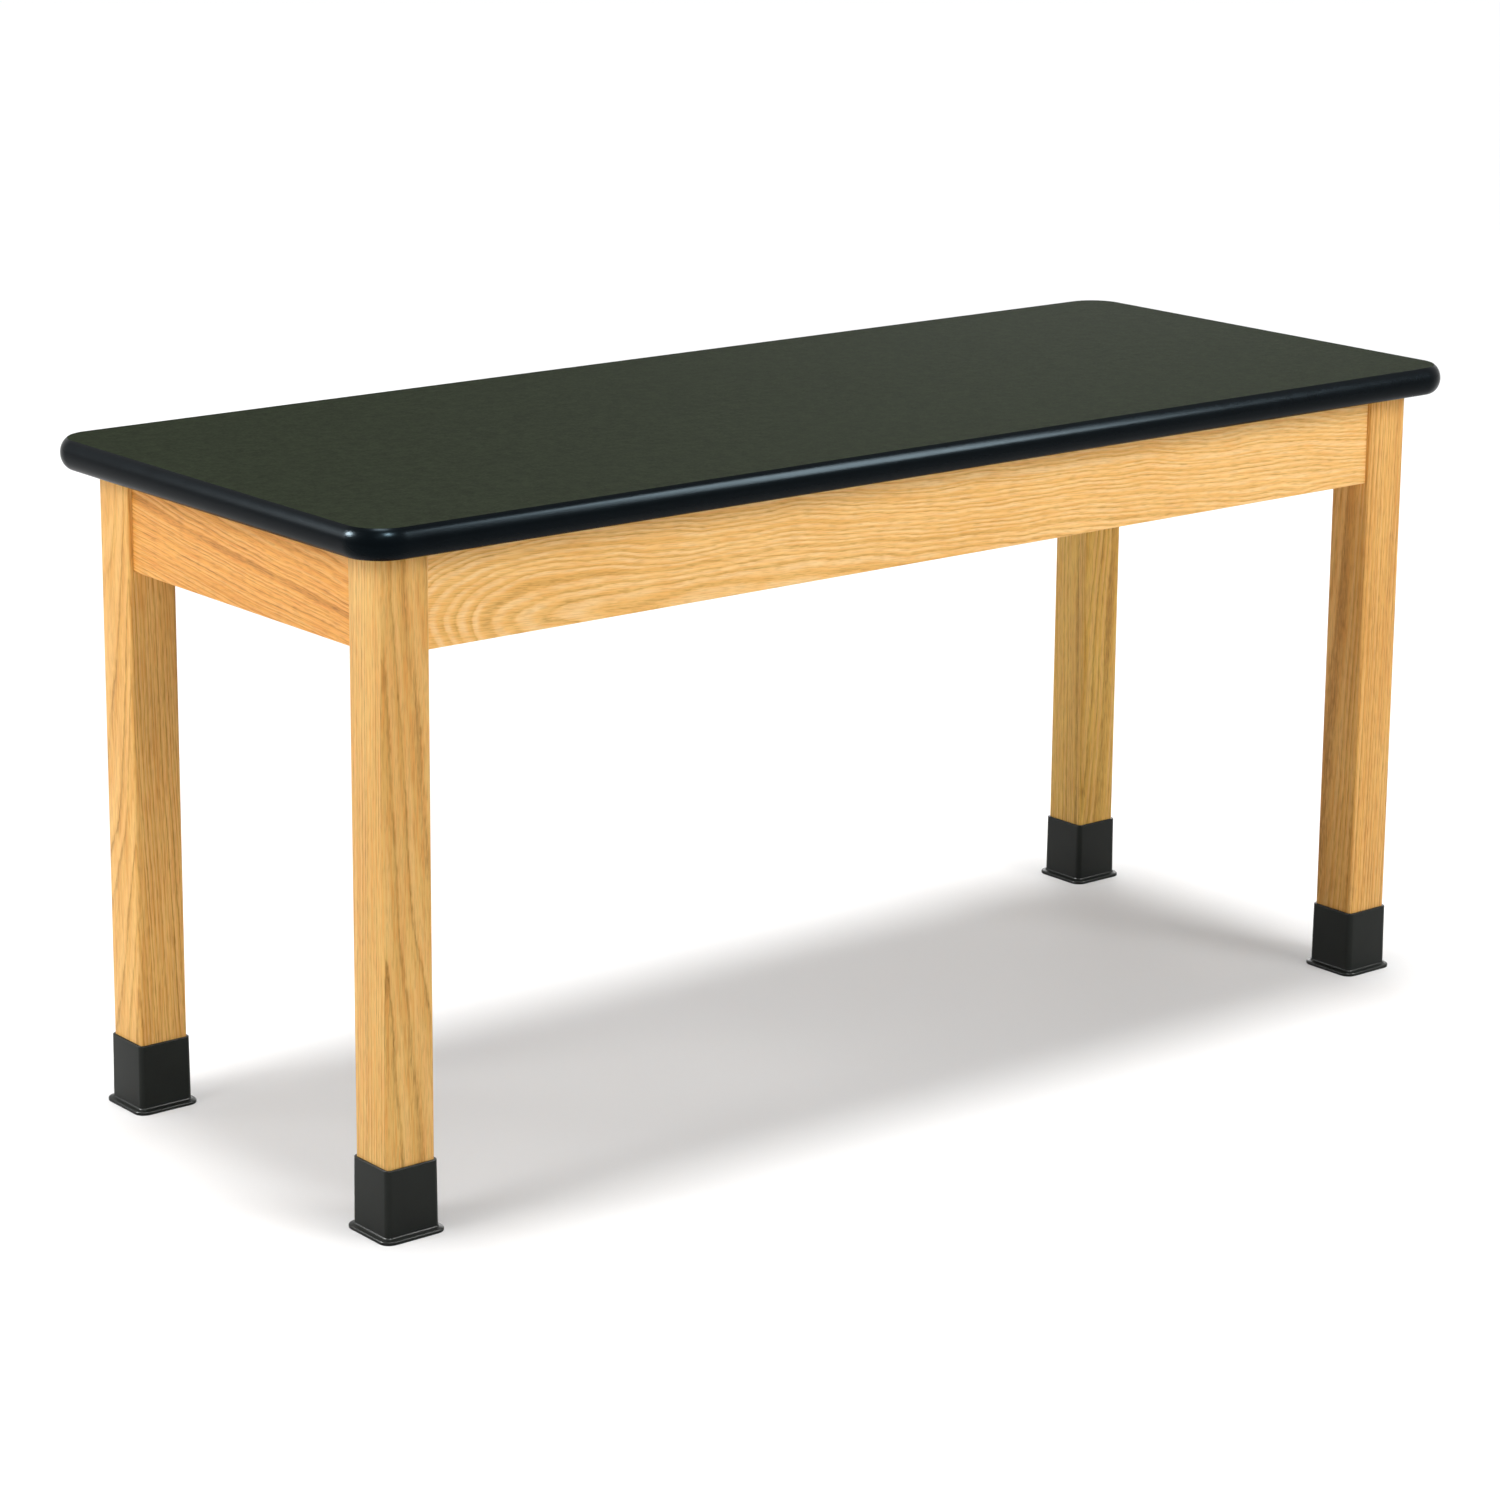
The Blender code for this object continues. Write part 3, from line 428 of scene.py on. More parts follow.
        # Both profiles say where in its ring a shade stands, and how strong it is there.
        earlywood = (
            (0.0, 0.60), (0.18 * early, 1.0), (0.5 * early, 0.58), (early, 0.14),
            (0.60, 0.0), (0.91, 0.06), (1.0, 0.60),
        )
        latewood = ((0.0, 0.0), (0.34, 0.0), (0.62, 1.0), (0.86, 0.8), (1.0, 0.0))
        line, band = [
            add_node(
                tree, "ShaderNodeValToRGB", {"Fac": part},
                stops=[(place, grey(level)) for place, level in profile],
            ).outputs["Color"]
            for profile in (earlywood, latewood)
        ]
        chance = add_node(
            tree, "ShaderNodeTexWhiteNoise", {"W": number}, noise_dimensions="1D"
        ).outputs["Value"]
        year = add_node(
            tree, "ShaderNodeMapRange",
            {"Value": chance, "To Min": self.mildest * self.contrast, "To Max": self.contrast},
        ).outputs[0]
        runs = Streaks((self.run_width, self.run_width, self.run), self.run_span)
        whole = self._streaks(tree, log, runs)
        worn = add_node(
            tree, "ShaderNodeMapRange", {"Value": whole, "To Min": self.faintest, "To Max": 1.0}
        ).outputs[0]
        drawn = add_node(tree, "ShaderNodeMath", {0: line, 1: year}, operation="MULTIPLY").outputs[0]
        drawn = add_node(tree, "ShaderNodeMath", {0: drawn, 1: worn}, operation="MULTIPLY").outputs[0]
        patchy = add_node(tree, "ShaderNodeMath", {0: worn, 1: self.gleam}, operation="MULTIPLY").outputs[0]
        banded = add_node(tree, "ShaderNodeMath", {0: band, 1: patchy}, operation="MULTIPLY").outputs[0]
        return drawn, banded

    def _noise(self, tree: Tree, log: Socket, size: Point3, detail: float) -> bpy.types.Node:
        """Return noise whose cells have this size in the log."""
        place = in_steps(tree, log, size)
        return add_node(tree, "ShaderNodeTexNoise", {"Vector": place, "Scale": 1.0, "Detail": detail})

    def _streaks(self, tree: Tree, log: Socket, kind: Streaks) -> Socket:
        """Draw one kind of streak.

        Args:
            tree: The material's tree.
            log: The place in the log.
            kind: The streaks' size, span and strength.

        Returns:
            0 between the streaks, and up to their strength in them.
        """
        noise = self._noise(tree, log, kind.size, 1.0).outputs[0]
        values = {"Value": noise, "From Min": kind.span[0], "From Max": kind.span[1], "To Max": kind.strength}
        return add_node(tree, "ShaderNodeMapRange", values).outputs[0]


@dataclass(frozen=True)
class Grained:
    """A finish whose colour and roughness drift with a fine grain and a broad cloud.

    It serves the sheet, moulded and plated goods: laminate, vinyl, rubber, nylon and metals.
    Their real texture is mostly a few tenths of a millimetre or less. It is drawn at about
    1 mm, or at 3 mm on the widest pieces, because a finer one would not show.
    """

    name: str
    light: str
    deep: str
    roughness: float
    grain: Point3  # the fine pattern's real size
    cloud: Point3  # the broad pattern's real size
    relief: float = 0.1  # strength of the fine bump
    sway: float = 0.0  # strength of the broad bump
    rough_drift: float = 0.08
    metallic: float = 0.0
    ior: float = 1.5
    specular: float = 0.5
    sheen: str = "#FFFFFF"  # the tint of its highlight
    span: Point2 = (0.70, 1.30)  # both patterns' sum, where the colour is deep and where light
    detail: float = 2.0
    grain_height: float = 0.0003
    cloud_height: float = 0.001

    def material(self) -> Material:
        """Build the material.

        Returns:
            The material.
        """
        material, tree = new_material(self.name)
        metres = add_node(tree, "ShaderNodeTexCoord").outputs["Object"]
        fine, broad = [
            add_node(
                tree, "ShaderNodeTexNoise",
                {"Vector": in_steps(tree, metres, size), "Scale": 1.0, "Detail": self.detail},
            ).outputs[0]
            for size in (self.grain, self.cloud)
        ]
        both = add_node(tree, "ShaderNodeMath", {0: fine, 1: broad}, operation="ADD").outputs[0]
        share = add_node(
            tree, "ShaderNodeMapRange", {"Value": both, "From Min": self.span[0], "From Max": self.span[1]}
        ).outputs[0]
        colour = add_node(
            tree, "ShaderNodeMix",
            {"Factor": share, MIX_A: linear_colour(self.deep), MIX_B: linear_colour(self.light)},
            data_type="RGBA",
        ).outputs[MIX_COLOUR]
        rough = add_node(
            tree, "ShaderNodeMath",
            {0: broad, 1: self.rough_drift, 2: self.roughness - self.rough_drift / 2},
            operation="MULTIPLY_ADD",
        ).outputs[0]
        normal = add_node(
            tree, "ShaderNodeBump", {"Strength": self.relief, "Distance": self.grain_height, "Height": fine}
        ).outputs["Normal"]
        if self.sway:
            waves = {"Strength": self.sway, "Distance": self.cloud_height, "Height": broad, "Normal": normal}
            normal = add_node(tree, "ShaderNodeBump", waves).outputs["Normal"]
        surface = {"Base Color": colour, "Roughness": rough, "Metallic": self.metallic, "Normal": normal}
        if not self.metallic:
            surface.update({"IOR": self.ior, "Specular IOR Level": self.specular})
            surface["Specular Tint"] = linear_colour(self.sheen)
        close_material(tree, surface)
        return material


@dataclass(frozen=True)
class Particleboard:
    """Raw particleboard: pressed chips of softwood, pale and tan, seen only inside the top."""

    name: str = "raw_particleboard"
    chip: float = 0.0035
    flatness: float = 3.0  # how many times wider than thick the press leaves a chip
    shades: tuple[str, str, str] = ("#8C6A44", "#B48E5E", "#D3B283")
    relief: float = 0.4
    relief_height: float = 0.0005
    roughness: float = 0.85

    def material(self) -> Material:
        """Build the material, one shade to each chip.

        Returns:
            The material.
        """
        material, tree = new_material(self.name)
        metres = add_node(tree, "ShaderNodeTexCoord").outputs["Object"]
        place = in_steps(tree, metres, (self.chip, self.chip, self.chip / self.flatness))
        chips = add_node(tree, "ShaderNodeTexVoronoi", {"Vector": place, "Scale": 1.0}).outputs
        shade = add_node(tree, "ShaderNodeSeparateColor", {0: chips["Color"]}).outputs[0]
        stops = [(place, linear_colour(code)) for place, code in zip((0.0, 0.5, 1.0), self.shades)]
        colour = add_node(tree, "ShaderNodeValToRGB", {"Fac": shade}, stops=stops).outputs["Color"]
        bump = add_node(
            tree, "ShaderNodeBump",
            {"Strength": self.relief, "Distance": self.relief_height, "Height": chips["Distance"]},
        ).outputs["Normal"]
        close_material(tree, {"Base Color": colour, "Roughness": self.roughness, "Normal": bump})
        return material


# Each names its light and deep colour, its roughness, and the real size of its grain and its cloud.
LAMINATE = Grained(  # high pressure laminate, pressed with a fine matte texture: near black, olive in light
    "matte_laminate", "#23281D", "#171A12", 0.80, (0.0032, 0.0032, 0.0032), (0.0095, 0.0095, 0.0095),
    relief=0.10, specular=0.012, sheen="#CCFFB8",
)
BACKER = Grained(  # kraft backing sheet: plain dull brown paper under resin
    "kraft_backer", "#4A3A2B", "#3C2E22", 0.70, (0.0012, 0.0060, 0.0012), (0.10, 0.05, 0.05),
)
VINYL = Grained(  # extruded PVC edge: blue black, glossy, its highlight slightly uneven
    "extruded_vinyl", "#05080B", "#040608", 0.24, (0.0030, 0.0030, 0.0030), (0.026, 0.026, 0.020),
    relief=0.005, sway=0.03, rough_drift=0.06, specular=0.042, sheen="#C4ECFF",
)
RUBBER = Grained(  # moulded synthetic rubber: satin black with a green grey cast
    "moulded_rubber", "#151915", "#111411", 0.35, (0.0011, 0.0011, 0.0011), (0.030, 0.030, 0.030),
    relief=0.04, rough_drift=0.03, specular=0.14,
)
NYLON = Grained(  # injection moulded nylon: smooth black, a little lighter where it scuffs
    "moulded_nylon", "#26272A", "#1B1C1E", 0.42, (0.0010, 0.0010, 0.0010), (0.012, 0.012, 0.012),
)
ZINC = Grained(  # bright zinc plate over stamped or rolled steel: silver grey, faintly cloudy
    "zinc_plate", "#C9CBCD", "#A4A7AA", 0.34, (0.0009, 0.0009, 0.0009), (0.014, 0.014, 0.014),
    relief=0.05, rough_drift=0.20, metallic=1.0,
)
BRASS = Grained(  # turned brass: warm yellow metal with tool marks round it
    "turned_brass", "#D2AE6C", "#B08C50", 0.32, (0.0020, 0.0020, 0.0004), (0.012, 0.012, 0.012),
    relief=0.08, metallic=1.0,
)


# ---------------------------------------------------------------- mesh helpers


def arc(centre: Point2, radius: float, start: float, turn: float, steps: int) -> list[Point2]:
    """Walk along an arc.

    Args:
        centre: Its centre.
        radius: Its radius.
        start: The angle that it starts at, in radians.
        turn: How far it turns, in radians.
        steps: The steps along it.

    Returns:
        Its points, one more than the steps.
    """
    points = []
    for step in range(steps + 1):
        angle = start + turn * step / steps
        points.append((centre[0] + radius * math.cos(angle), centre[1] + radius * math.sin(angle)))
    return points


def round_corners(half: Point2, radius: float) -> Iterator[tuple[Point2, float]]:
    """Go round the corners of a rectangle.

    Args:
        half: Its half length and half depth.
        radius: The radius of its corners.

    Yields:
        The centre of each round corner, and the angle that it starts at.
    """
    for quarter, (side_x, side_y) in enumerate(QUARTERS):
        yield (side_x * (half[0] - radius), side_y * (half[1] - radius)), quarter * QUARTER_TURN


def looped_faces(rows: int, around: int, closed: bool = False) -> list[Sequence[int]]:
    """Span faces between rows of points that are loops.

    Args:
        rows: The number of rows.
        around: The points in each row.
        closed: Whether the last row meets the first.

    Returns:
        The faces, by their points' numbers.
    """
    faces: list[Sequence[int]] = []
    for row in range(rows if closed else rows - 1):
        low, high = row * around, (row + 1) % rows * around
        for place in range(around):
            beside = (place + 1) % around
            faces.append((low + place, low + beside, high + beside, high + place))
    return faces


def mesh_of(name: str, points: Sequence[Sequence[float]], faces: Sequence[Sequence[int]]) -> Mesh:
    """Make a closed mesh, with its doubles merged and its faces turned outwards.

    Args:
        name: Its name.
        points: Its points.
        faces: Its faces, by their points' numbers.

    Returns:
        The mesh.
    """
    shape = bmesh.new()
    corners = [shape.verts.new(point) for point in points]
    for face in faces:
        shape.faces.new([corners[index] for index in face])
    bmesh.ops.remove_doubles(shape, verts=shape.verts, dist=WELD_DISTANCE)
    bmesh.ops.recalc_face_normals(shape, faces=shape.faces)
    mesh = bpy.data.meshes.new(name)
    shape.to_mesh(mesh)
    shape.free()
    return mesh


def swept_ring(
    name: str, half: Point2, radius: float, steps: int, section: Sequence[Point2], height: float = 0.0
) -> Mesh:
    """Sweep a closed section round a rectangle with round corners.

    Args:
        name: The mesh's name.
        half: The rectangle's half length and half depth.
        radius: The radius of its corners.
        steps: The faces in each round corner.
        section: The section's points, each (outward, up) from the rectangle.
        height: The height of the rectangle.

    Returns:
        The ring's mesh.
    """
    points: list[Point3] = []
    for (middle_x, middle_y), start in round_corners(half, radius):
        for step in range(steps + 1):
            angle = start + QUARTER_TURN * step / steps
            for outward, up in section:
                reach = radius + outward
                points.append(
                    (middle_x + reach * math.cos(angle), middle_y + reach * math.sin(angle), height + up)
                )
    return mesh_of(name, points, looped_faces(len(points) // len(section), len(section), closed=True))


def domed_plate(
    name: str, half: Point2, radius: float, steps: int, bottom: float, top: float, ease: float
) -> Mesh:
    """Make a sheet with round corners and an eased top edge.

    Args:
        name: The mesh's name.
        half: Its half length and half depth.
        radius: The radius of its corners.
        steps: The faces in each round corner.
        bottom: The height of its underside.
        top: The height of its face.
        ease: The width of the small bevel round the face.

    Returns:
        The sheet's mesh.
    """
    levels = ((0.0, bottom), (0.0, top - ease), (-ease, top))
    points = [
        (x, y, height)
        for outward, height in levels
        for centre, start in round_corners(half, radius)
        for x, y in arc(centre, radius + outward, start, QUARTER_TURN, steps)
    ]
    around = len(points) // len(levels)
    ends = [list(range(around))[::-1], list(range(2 * around, 3 * around))]
    return mesh_of(name, points, ends + looped_faces(len(levels), around))


def turned(name: str, profile: Sequence[Point2], steps: int, closed: bool = False) -> Mesh:
    """Turn a (radius, height) profile once about Z.

    Args:
        name: The mesh's name.
        profile: The profile. An open one starts and ends on the axis.
        steps: The faces in one turn.
        closed: Whether the profile is a loop away from the axis.

    Returns:
        The turned mesh.
    """
    points = []
    for step in range(steps):
        angle = FULL_TURN * step / steps
        points += [(r * math.cos(angle), r * math.sin(angle), z) for r, z in profile]
    count = len(profile)
    faces = []
    for step in range(steps):
        first, after = step * count, (step + 1) % steps * count
        for place in range(count if closed else count - 1):
            beside = (place + 1) % count
            corners = [first + place, after + place, after + beside, first + beside]
            if profile[place][0] == 0.0:
                corners.pop(1)
            elif profile[beside][0] == 0.0:
                corners.pop(2)
            faces.append(corners)
    return mesh_of(name, points, faces)


def prism(name: str, outline: Sequence[Point2], bottom: float, top: float) -> Mesh:
    """Make a straight prism.

    Args:
        name: The mesh's name.
        outline: Its outline in X and Y.
        bottom: The height of its lower face.
        top: The height of its upper face.

    Returns:
        The prism's mesh.
    """
    count = len(outline)
    points = [(x, y, height) for height in (bottom, top) for x, y in outline]
    ends = [list(range(count))[::-1], list(range(count, 2 * count))]
    return mesh_of(name, points, ends + looped_faces(2, count))


def folded_sheet(name: str, folds: Sequence[Point2], sheet: float, bend: float, width: float) -> Mesh:
    """Fold a strip of sheet metal along a line, with round bends.

    Args:
        name: The mesh's name.
        folds: The line's points in X and Y. The metal lies on its right.
        sheet: The metal's thickness.
        bend: The radius inside each bend.
        width: The strip's width, up from Z = 0.

    Returns:
        The strip's mesh.
    """
    points = [Vector(fold) for fold in folds]
    line, other = [], []

    def end_at(point: Vector, way: Vector) -> None:
        """Put an end of the strip here, square to its way."""
        line.append(point)
        other.append(point + Vector((way.y, -way.x)) * sheet)

    end_at(points[0], (points[1] - points[0]).normalized())
    for before, point, after in zip(points[:-2], points[1:-1], points[2:]):
        came, goes = (point - before).normalized(), (after - point).normalized()
        turn = came.x * goes.y - came.y * goes.x
        angle = came.angle(goes)
        side = Vector((-came.y, came.x)) * (1.0 if turn > 0 else -1.0)
        radius = bend if turn > 0 else bend + sheet
        centre = point - came * radius * math.tan(angle / 2) + side * radius
        for step in range(BEND_STEPS + 1):
            spoke = -side.copy()
            spoke.rotate(Matrix.Rotation(math.copysign(angle * step / BEND_STEPS, turn), 2))
            line.append(centre + spoke * radius)
            other.append(centre + spoke * (radius + (sheet if turn > 0 else -sheet)))
    end_at(points[-1], (points[-1] - points[-2]).normalized())
    return prism(name, [tuple(point) for point in line + other[::-1]], 0.0, width)


def hexagon(flats: float, bottom: float, top: float, ease: float) -> Mesh:
    """Make a hexagon head whose corners are turned off at both faces, as a nut's are.

    Args:
        flats: The distance across its flats.
        bottom: The height of its lower face.
        top: The height of its upper face.
        ease: How far the chamfer runs down each corner.

    Returns:
        The head's mesh.
    """
    corner = flats / 2 / math.cos(math.pi / 6)
    block = prism("hexagon", arc((0.0, 0.0), corner, 0.0, FULL_TURN, 6)[:-1], bottom, top)
    slope = math.tan(HEXAGON_CHAMFER)
    inner, outer, drop = corner - ease * slope, corner + ease, ease + ease / slope
    profile = [(0.0, top), (inner, top), (outer, top - drop), (outer, bottom + drop), (inner, bottom)]
    dome = turned("dome", profile + [(0.0, bottom)], HEXAGON_STEPS)
    return combined("hexagon", block, [dome], "INTERSECT")


def combined(name: str, mesh: Mesh, tools: Iterable[Mesh], operation: str) -> Mesh:
    """Join, cut or intersect a mesh with others, exactly.

    Args:
        name: The result's name.
        mesh: The mesh worked on.
        tools: The meshes it is worked with.
        operation: UNION, DIFFERENCE or INTERSECT.

    Returns:
        The resulting mesh.
    """
    work = in_scene(name, mesh)
    helpers = [in_scene("tool", tool) for tool in tools]
    for helper in helpers:
        step = work.modifiers.new("step", "BOOLEAN")
        step.object, step.operation, step.solver = helper, operation, "EXACT"
    result = baked(work, name)
    for helper in helpers:
        bpy.data.objects.remove(helper)
    return result


def baked(work: bpy.types.Object, name: str) -> Mesh:
    """Turn what an object's modifiers make to a plain mesh, and remove the object.

    Args:
        work: The object.
        name: The mesh's name.

    Returns:
        The mesh.
    """
    graph = bpy.context.evaluated_depsgraph_get()
    mesh = bpy.data.meshes.new_from_object(work.evaluated_get(graph), depsgraph=graph)
    mesh.name = name
    bpy.data.objects.remove(work)
    return mesh


def merged(name: str, meshes: Iterable[Mesh]) -> Mesh:
    """Put meshes together in one.

    Args:
        name: Its name.
        meshes: The meshes.

    Returns:
        The one mesh.
    """
    shape = bmesh.new()
    for mesh in meshes:
        shape.from_mesh(mesh)
    result = bpy.data.meshes.new(name)
    shape.to_mesh(result)
    shape.free()
    return result


def placed(mesh: Mesh, place: Matrix) -> Mesh:
    """Copy a mesh to a place.

    Args:
        mesh: The mesh.
        place: Where its copy goes, and which way it faces.

    Returns:
        The copy.
    """
    copy = mesh.copy()
    copy.transform(place)
    return copy


def shifted(x: float, y: float, z: float) -> Matrix:
    """Return a plain shift."""
    return Matrix.Translation((x, y, z))


def facing(direction: Sequence[float]) -> Matrix:
    """Return the turn that points a piece's +Z along the direction."""
    return Vector(direction).to_track_quat("Z", "Y").to_matrix().to_4x4()


def lamp_facing(direction: Sequence[float]) -> Matrix:
    """Return the turn that points a lamp along the direction."""
    return Vector(direction).to_track_quat("-Z", "Y").to_matrix().to_4x4()


def add_piece(name: str, mesh: Mesh, material: Material, body: str, nodes: Sequence[str]) -> bpy.types.Object:
    """Show a finished mesh in place of the CAD nodes that it stands for.

    Args:
        name: The piece's name.
        mesh: Its mesh, in the table's own frame.
        material: Its finish.
        body: The CAD body that it moves with.
        nodes: The CAD nodes that it replaces.

    Returns:
        The new object.
    """
    mesh.materials.clear()
    mesh.materials.append(material)
    for face in mesh.polygons:
        face.material_index = 0
    mesh.shade_smooth()
    mesh.set_sharp_from_angle(angle=SMOOTH_ANGLE)
    piece = in_scene(name, mesh)
    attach(piece, body)
    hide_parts(*nodes)
    LOG.info("%s: %d faces, rides on %s", name, len(mesh.polygons), body)
    return piece


# -------------------------------------------------------- geometry node trees


def new_tree(name: str, inputs: dict[str, str]) -> Tree:
    """Start a Geometry Nodes tree with a geometry input and these named inputs.

    Args:
        name: The tree's name.
        inputs: The socket type of each input, by its name.

    Returns:
        The tree.
    """
    tree = bpy.data.node_groups.new(name, "GeometryNodeTree")
    tree.interface.new_socket("Geometry", in_out="INPUT", socket_type="NodeSocketGeometry")
    for label, kind in inputs.items():
        tree.interface.new_socket(label, in_out="INPUT", socket_type=kind)
    tree.interface.new_socket("Geometry", in_out="OUTPUT", socket_type="NodeSocketGeometry")
    return tree


def close_tree(tree: Tree, geometry: Socket, material: Socket) -> None:
    """End a tree: its instances become real and get their finish.

    Args:
        tree: The tree.
        geometry: What it has made.
        material: The finish.
    """
    real = add_node(tree, "GeometryNodeRealizeInstances", {0: geometry}).outputs[0]
    dressed = add_node(tree, "GeometryNodeSetMaterial", {"Geometry": real, "Material": material}).outputs[0]
    add_node(tree, "NodeGroupOutput", {0: dressed})


def put_tree(thing: bpy.types.Object, tree: Tree, values: dict[str, Any]) -> None:
    """Put a Geometry Nodes tree on an object.

    Args:
        thing: The object.
        tree: The tree.
        values: A value for each of the tree's named inputs.
    """
    modifier = thing.modifiers.new(tree.name, "NODES")
    modifier.node_group = tree
    for item in tree.interface.items_tree:
        if item.item_type == "SOCKET" and item.in_out == "INPUT" and item.name in values:
            modifier[item.identifier] = values[item.name]


def run_tree(tree: Tree, name: str, mesh: Mesh, values: dict[str, Any]) -> Mesh:
    """Run a tree on a mesh.

    Args:
        tree: The Geometry Nodes tree.
        name: The result's name.
        mesh: The mesh that it starts from.
        values: A value for each of the tree's named inputs.

    Returns:
        The plain mesh that it makes.
    """
    work = in_scene(name, mesh)
    put_tree(work, tree, values)
    return baked(work, name)


def thread_tree() -> Tree:
    """Build the tree that winds a screw thread round a rod.

    Returns:
        A tree whose inputs are the thread's radius, depth, pitch, length and start height.
    """
    sizes = dict.fromkeys(("Radius", "Depth", "Pitch", "Length", "Start"), "NodeSocketFloat")
    tree = new_tree("screw_thread", {**sizes, "Material": "NodeSocketMaterial"})
    given = add_node(tree, "NodeGroupInput").outputs
    turns = add_node(
        tree, "ShaderNodeMath", {0: given["Length"], 1: given["Pitch"]}, operation="DIVIDE"
    ).outputs[0]
    root = add_node(
        tree, "ShaderNodeMath", {0: given["Radius"], 1: given["Depth"]}, operation="SUBTRACT"
    ).outputs[0]
    winding = {"Rotations": turns, "Start Radius": root, "End Radius": root, "Height": given["Length"]}
    helix = add_node(tree, "GeometryNodeCurveSpiral", {"Resolution": THREAD_STEPS, **winding}).outputs[0]
    flank = add_node(
        tree, "GeometryNodeCurvePrimitiveCircle", {"Resolution": THREAD_SIDES, "Radius": given["Depth"]},
        mode="RADIUS",
    ).outputs[0]
    ridge = add_node(
        tree, "GeometryNodeCurveToMesh", {"Curve": helix, "Profile Curve": flank, "Fill Caps": True}
    ).outputs[0]
    lift = add_node(tree, "ShaderNodeCombineXYZ", {"Z": given["Start"]}).outputs[0]
    raised = add_node(tree, "GeometryNodeTransform", {"Geometry": ridge, "Translation": lift}).outputs[0]
    whole = add_node(tree, "GeometryNodeJoinGeometry", {0: raised})
    tree.links.new(given["Geometry"], whole.inputs[0])
    close_tree(tree, whole.outputs[0], given["Material"])
    return tree


def row_tree() -> Tree:
    """Build the tree that sets a copy of one fastener on every point, turned as the point says.

    Returns:
        A tree whose inputs are the fastener and its finish.
    """
    tree = new_tree("fastener_row", {"Fastener": "NodeSocketObject", "Material": "NodeSocketMaterial"})
    given = add_node(tree, "NodeGroupInput").outputs
    fastener = add_node(tree, "GeometryNodeObjectInfo", {"Object": given["Fastener"]}).outputs["Geometry"]
    turn = add_node(
        tree, "GeometryNodeInputNamedAttribute", {"Name": "turn"}, data_type="FLOAT_VECTOR"
    ).outputs[0]
    row = add_node(
        tree, "GeometryNodeInstanceOnPoints",
        {"Points": given["Geometry"], "Instance": fastener, "Rotation": turn},
    ).outputs[0]
    close_tree(tree, row, given["Material"])
    return tree


def eased_tree() -> Tree:
    """Build the tree that welds a CAD board's faces and shades its eased edges smoothly.

    Returns:
        A tree whose input is the sharpest fold, in radians, that still shades smoothly.
    """
    tree = new_tree("eased_edges", {"Fold": "NodeSocketFloat"})
    given = add_node(tree, "NodeGroupInput").outputs
    welded = add_node(
        tree, "GeometryNodeMergeByDistance", {"Geometry": given["Geometry"], "Distance": WELD_DISTANCE}
    ).outputs[0]
    fold = add_node(tree, "GeometryNodeInputMeshEdgeAngle").outputs["Unsigned Angle"]
    soft = add_node(
        tree, "FunctionNodeCompare", {"A": fold, "B": given["Fold"]}, operation="LESS_THAN", data_type="FLOAT"
    ).outputs[0]
    shaded = welded
    for domain, smooth in (("FACE", True), ("EDGE", soft)):
        shaded = add_node(
            tree, "GeometryNodeSetShadeSmooth", {"Geometry": shaded, "Shade Smooth": smooth}, domain=domain
        ).outputs[0]
    add_node(tree, "NodeGroupOutput", {0: shaded})
    return tree


def fastener_row(tree: Tree, name: str, fastener: Mesh, places: Sequence[Matrix], material: Material) -> Mesh:
    """Set a fastener at each place with the row tree.

    Args:
        tree: The tree that row_tree made.
        name: The result's name.
        fastener: One fastener, pointing along +Z.
        places: Where each stands, and which way it faces.
        material: The fasteners' finish.

    Returns:
        One mesh of all the fasteners.
    """
    points = bpy.data.meshes.new("places")
    points.from_pydata([place.translation for place in places], [], [])
    turn = points.attributes.new("turn", "FLOAT_VECTOR", "POINT")
    for datum, place in zip(turn.data, places):
        datum.vector = place.to_euler()
    sample = in_scene("sample", fastener)
    mesh = run_tree(tree, name, points, {"Fastener": sample, "Material": material})
    bpy.data.objects.remove(sample)
    return mesh


# --------------------------------------------------------------- sub-assemblies


def dress(node: bpy.types.Object, material: Material) -> None:
    """Give a CAD node its material in every slot.

    Args:
        node: The CAD node.
        material: Its finish.
    """
    slots = node.material_slots
    if not slots:
        node.data.materials.append(material)
    for slot in slots:
        slot.material = material
    LOG.info("%s keeps its solid, in %s", node.name, material.name)


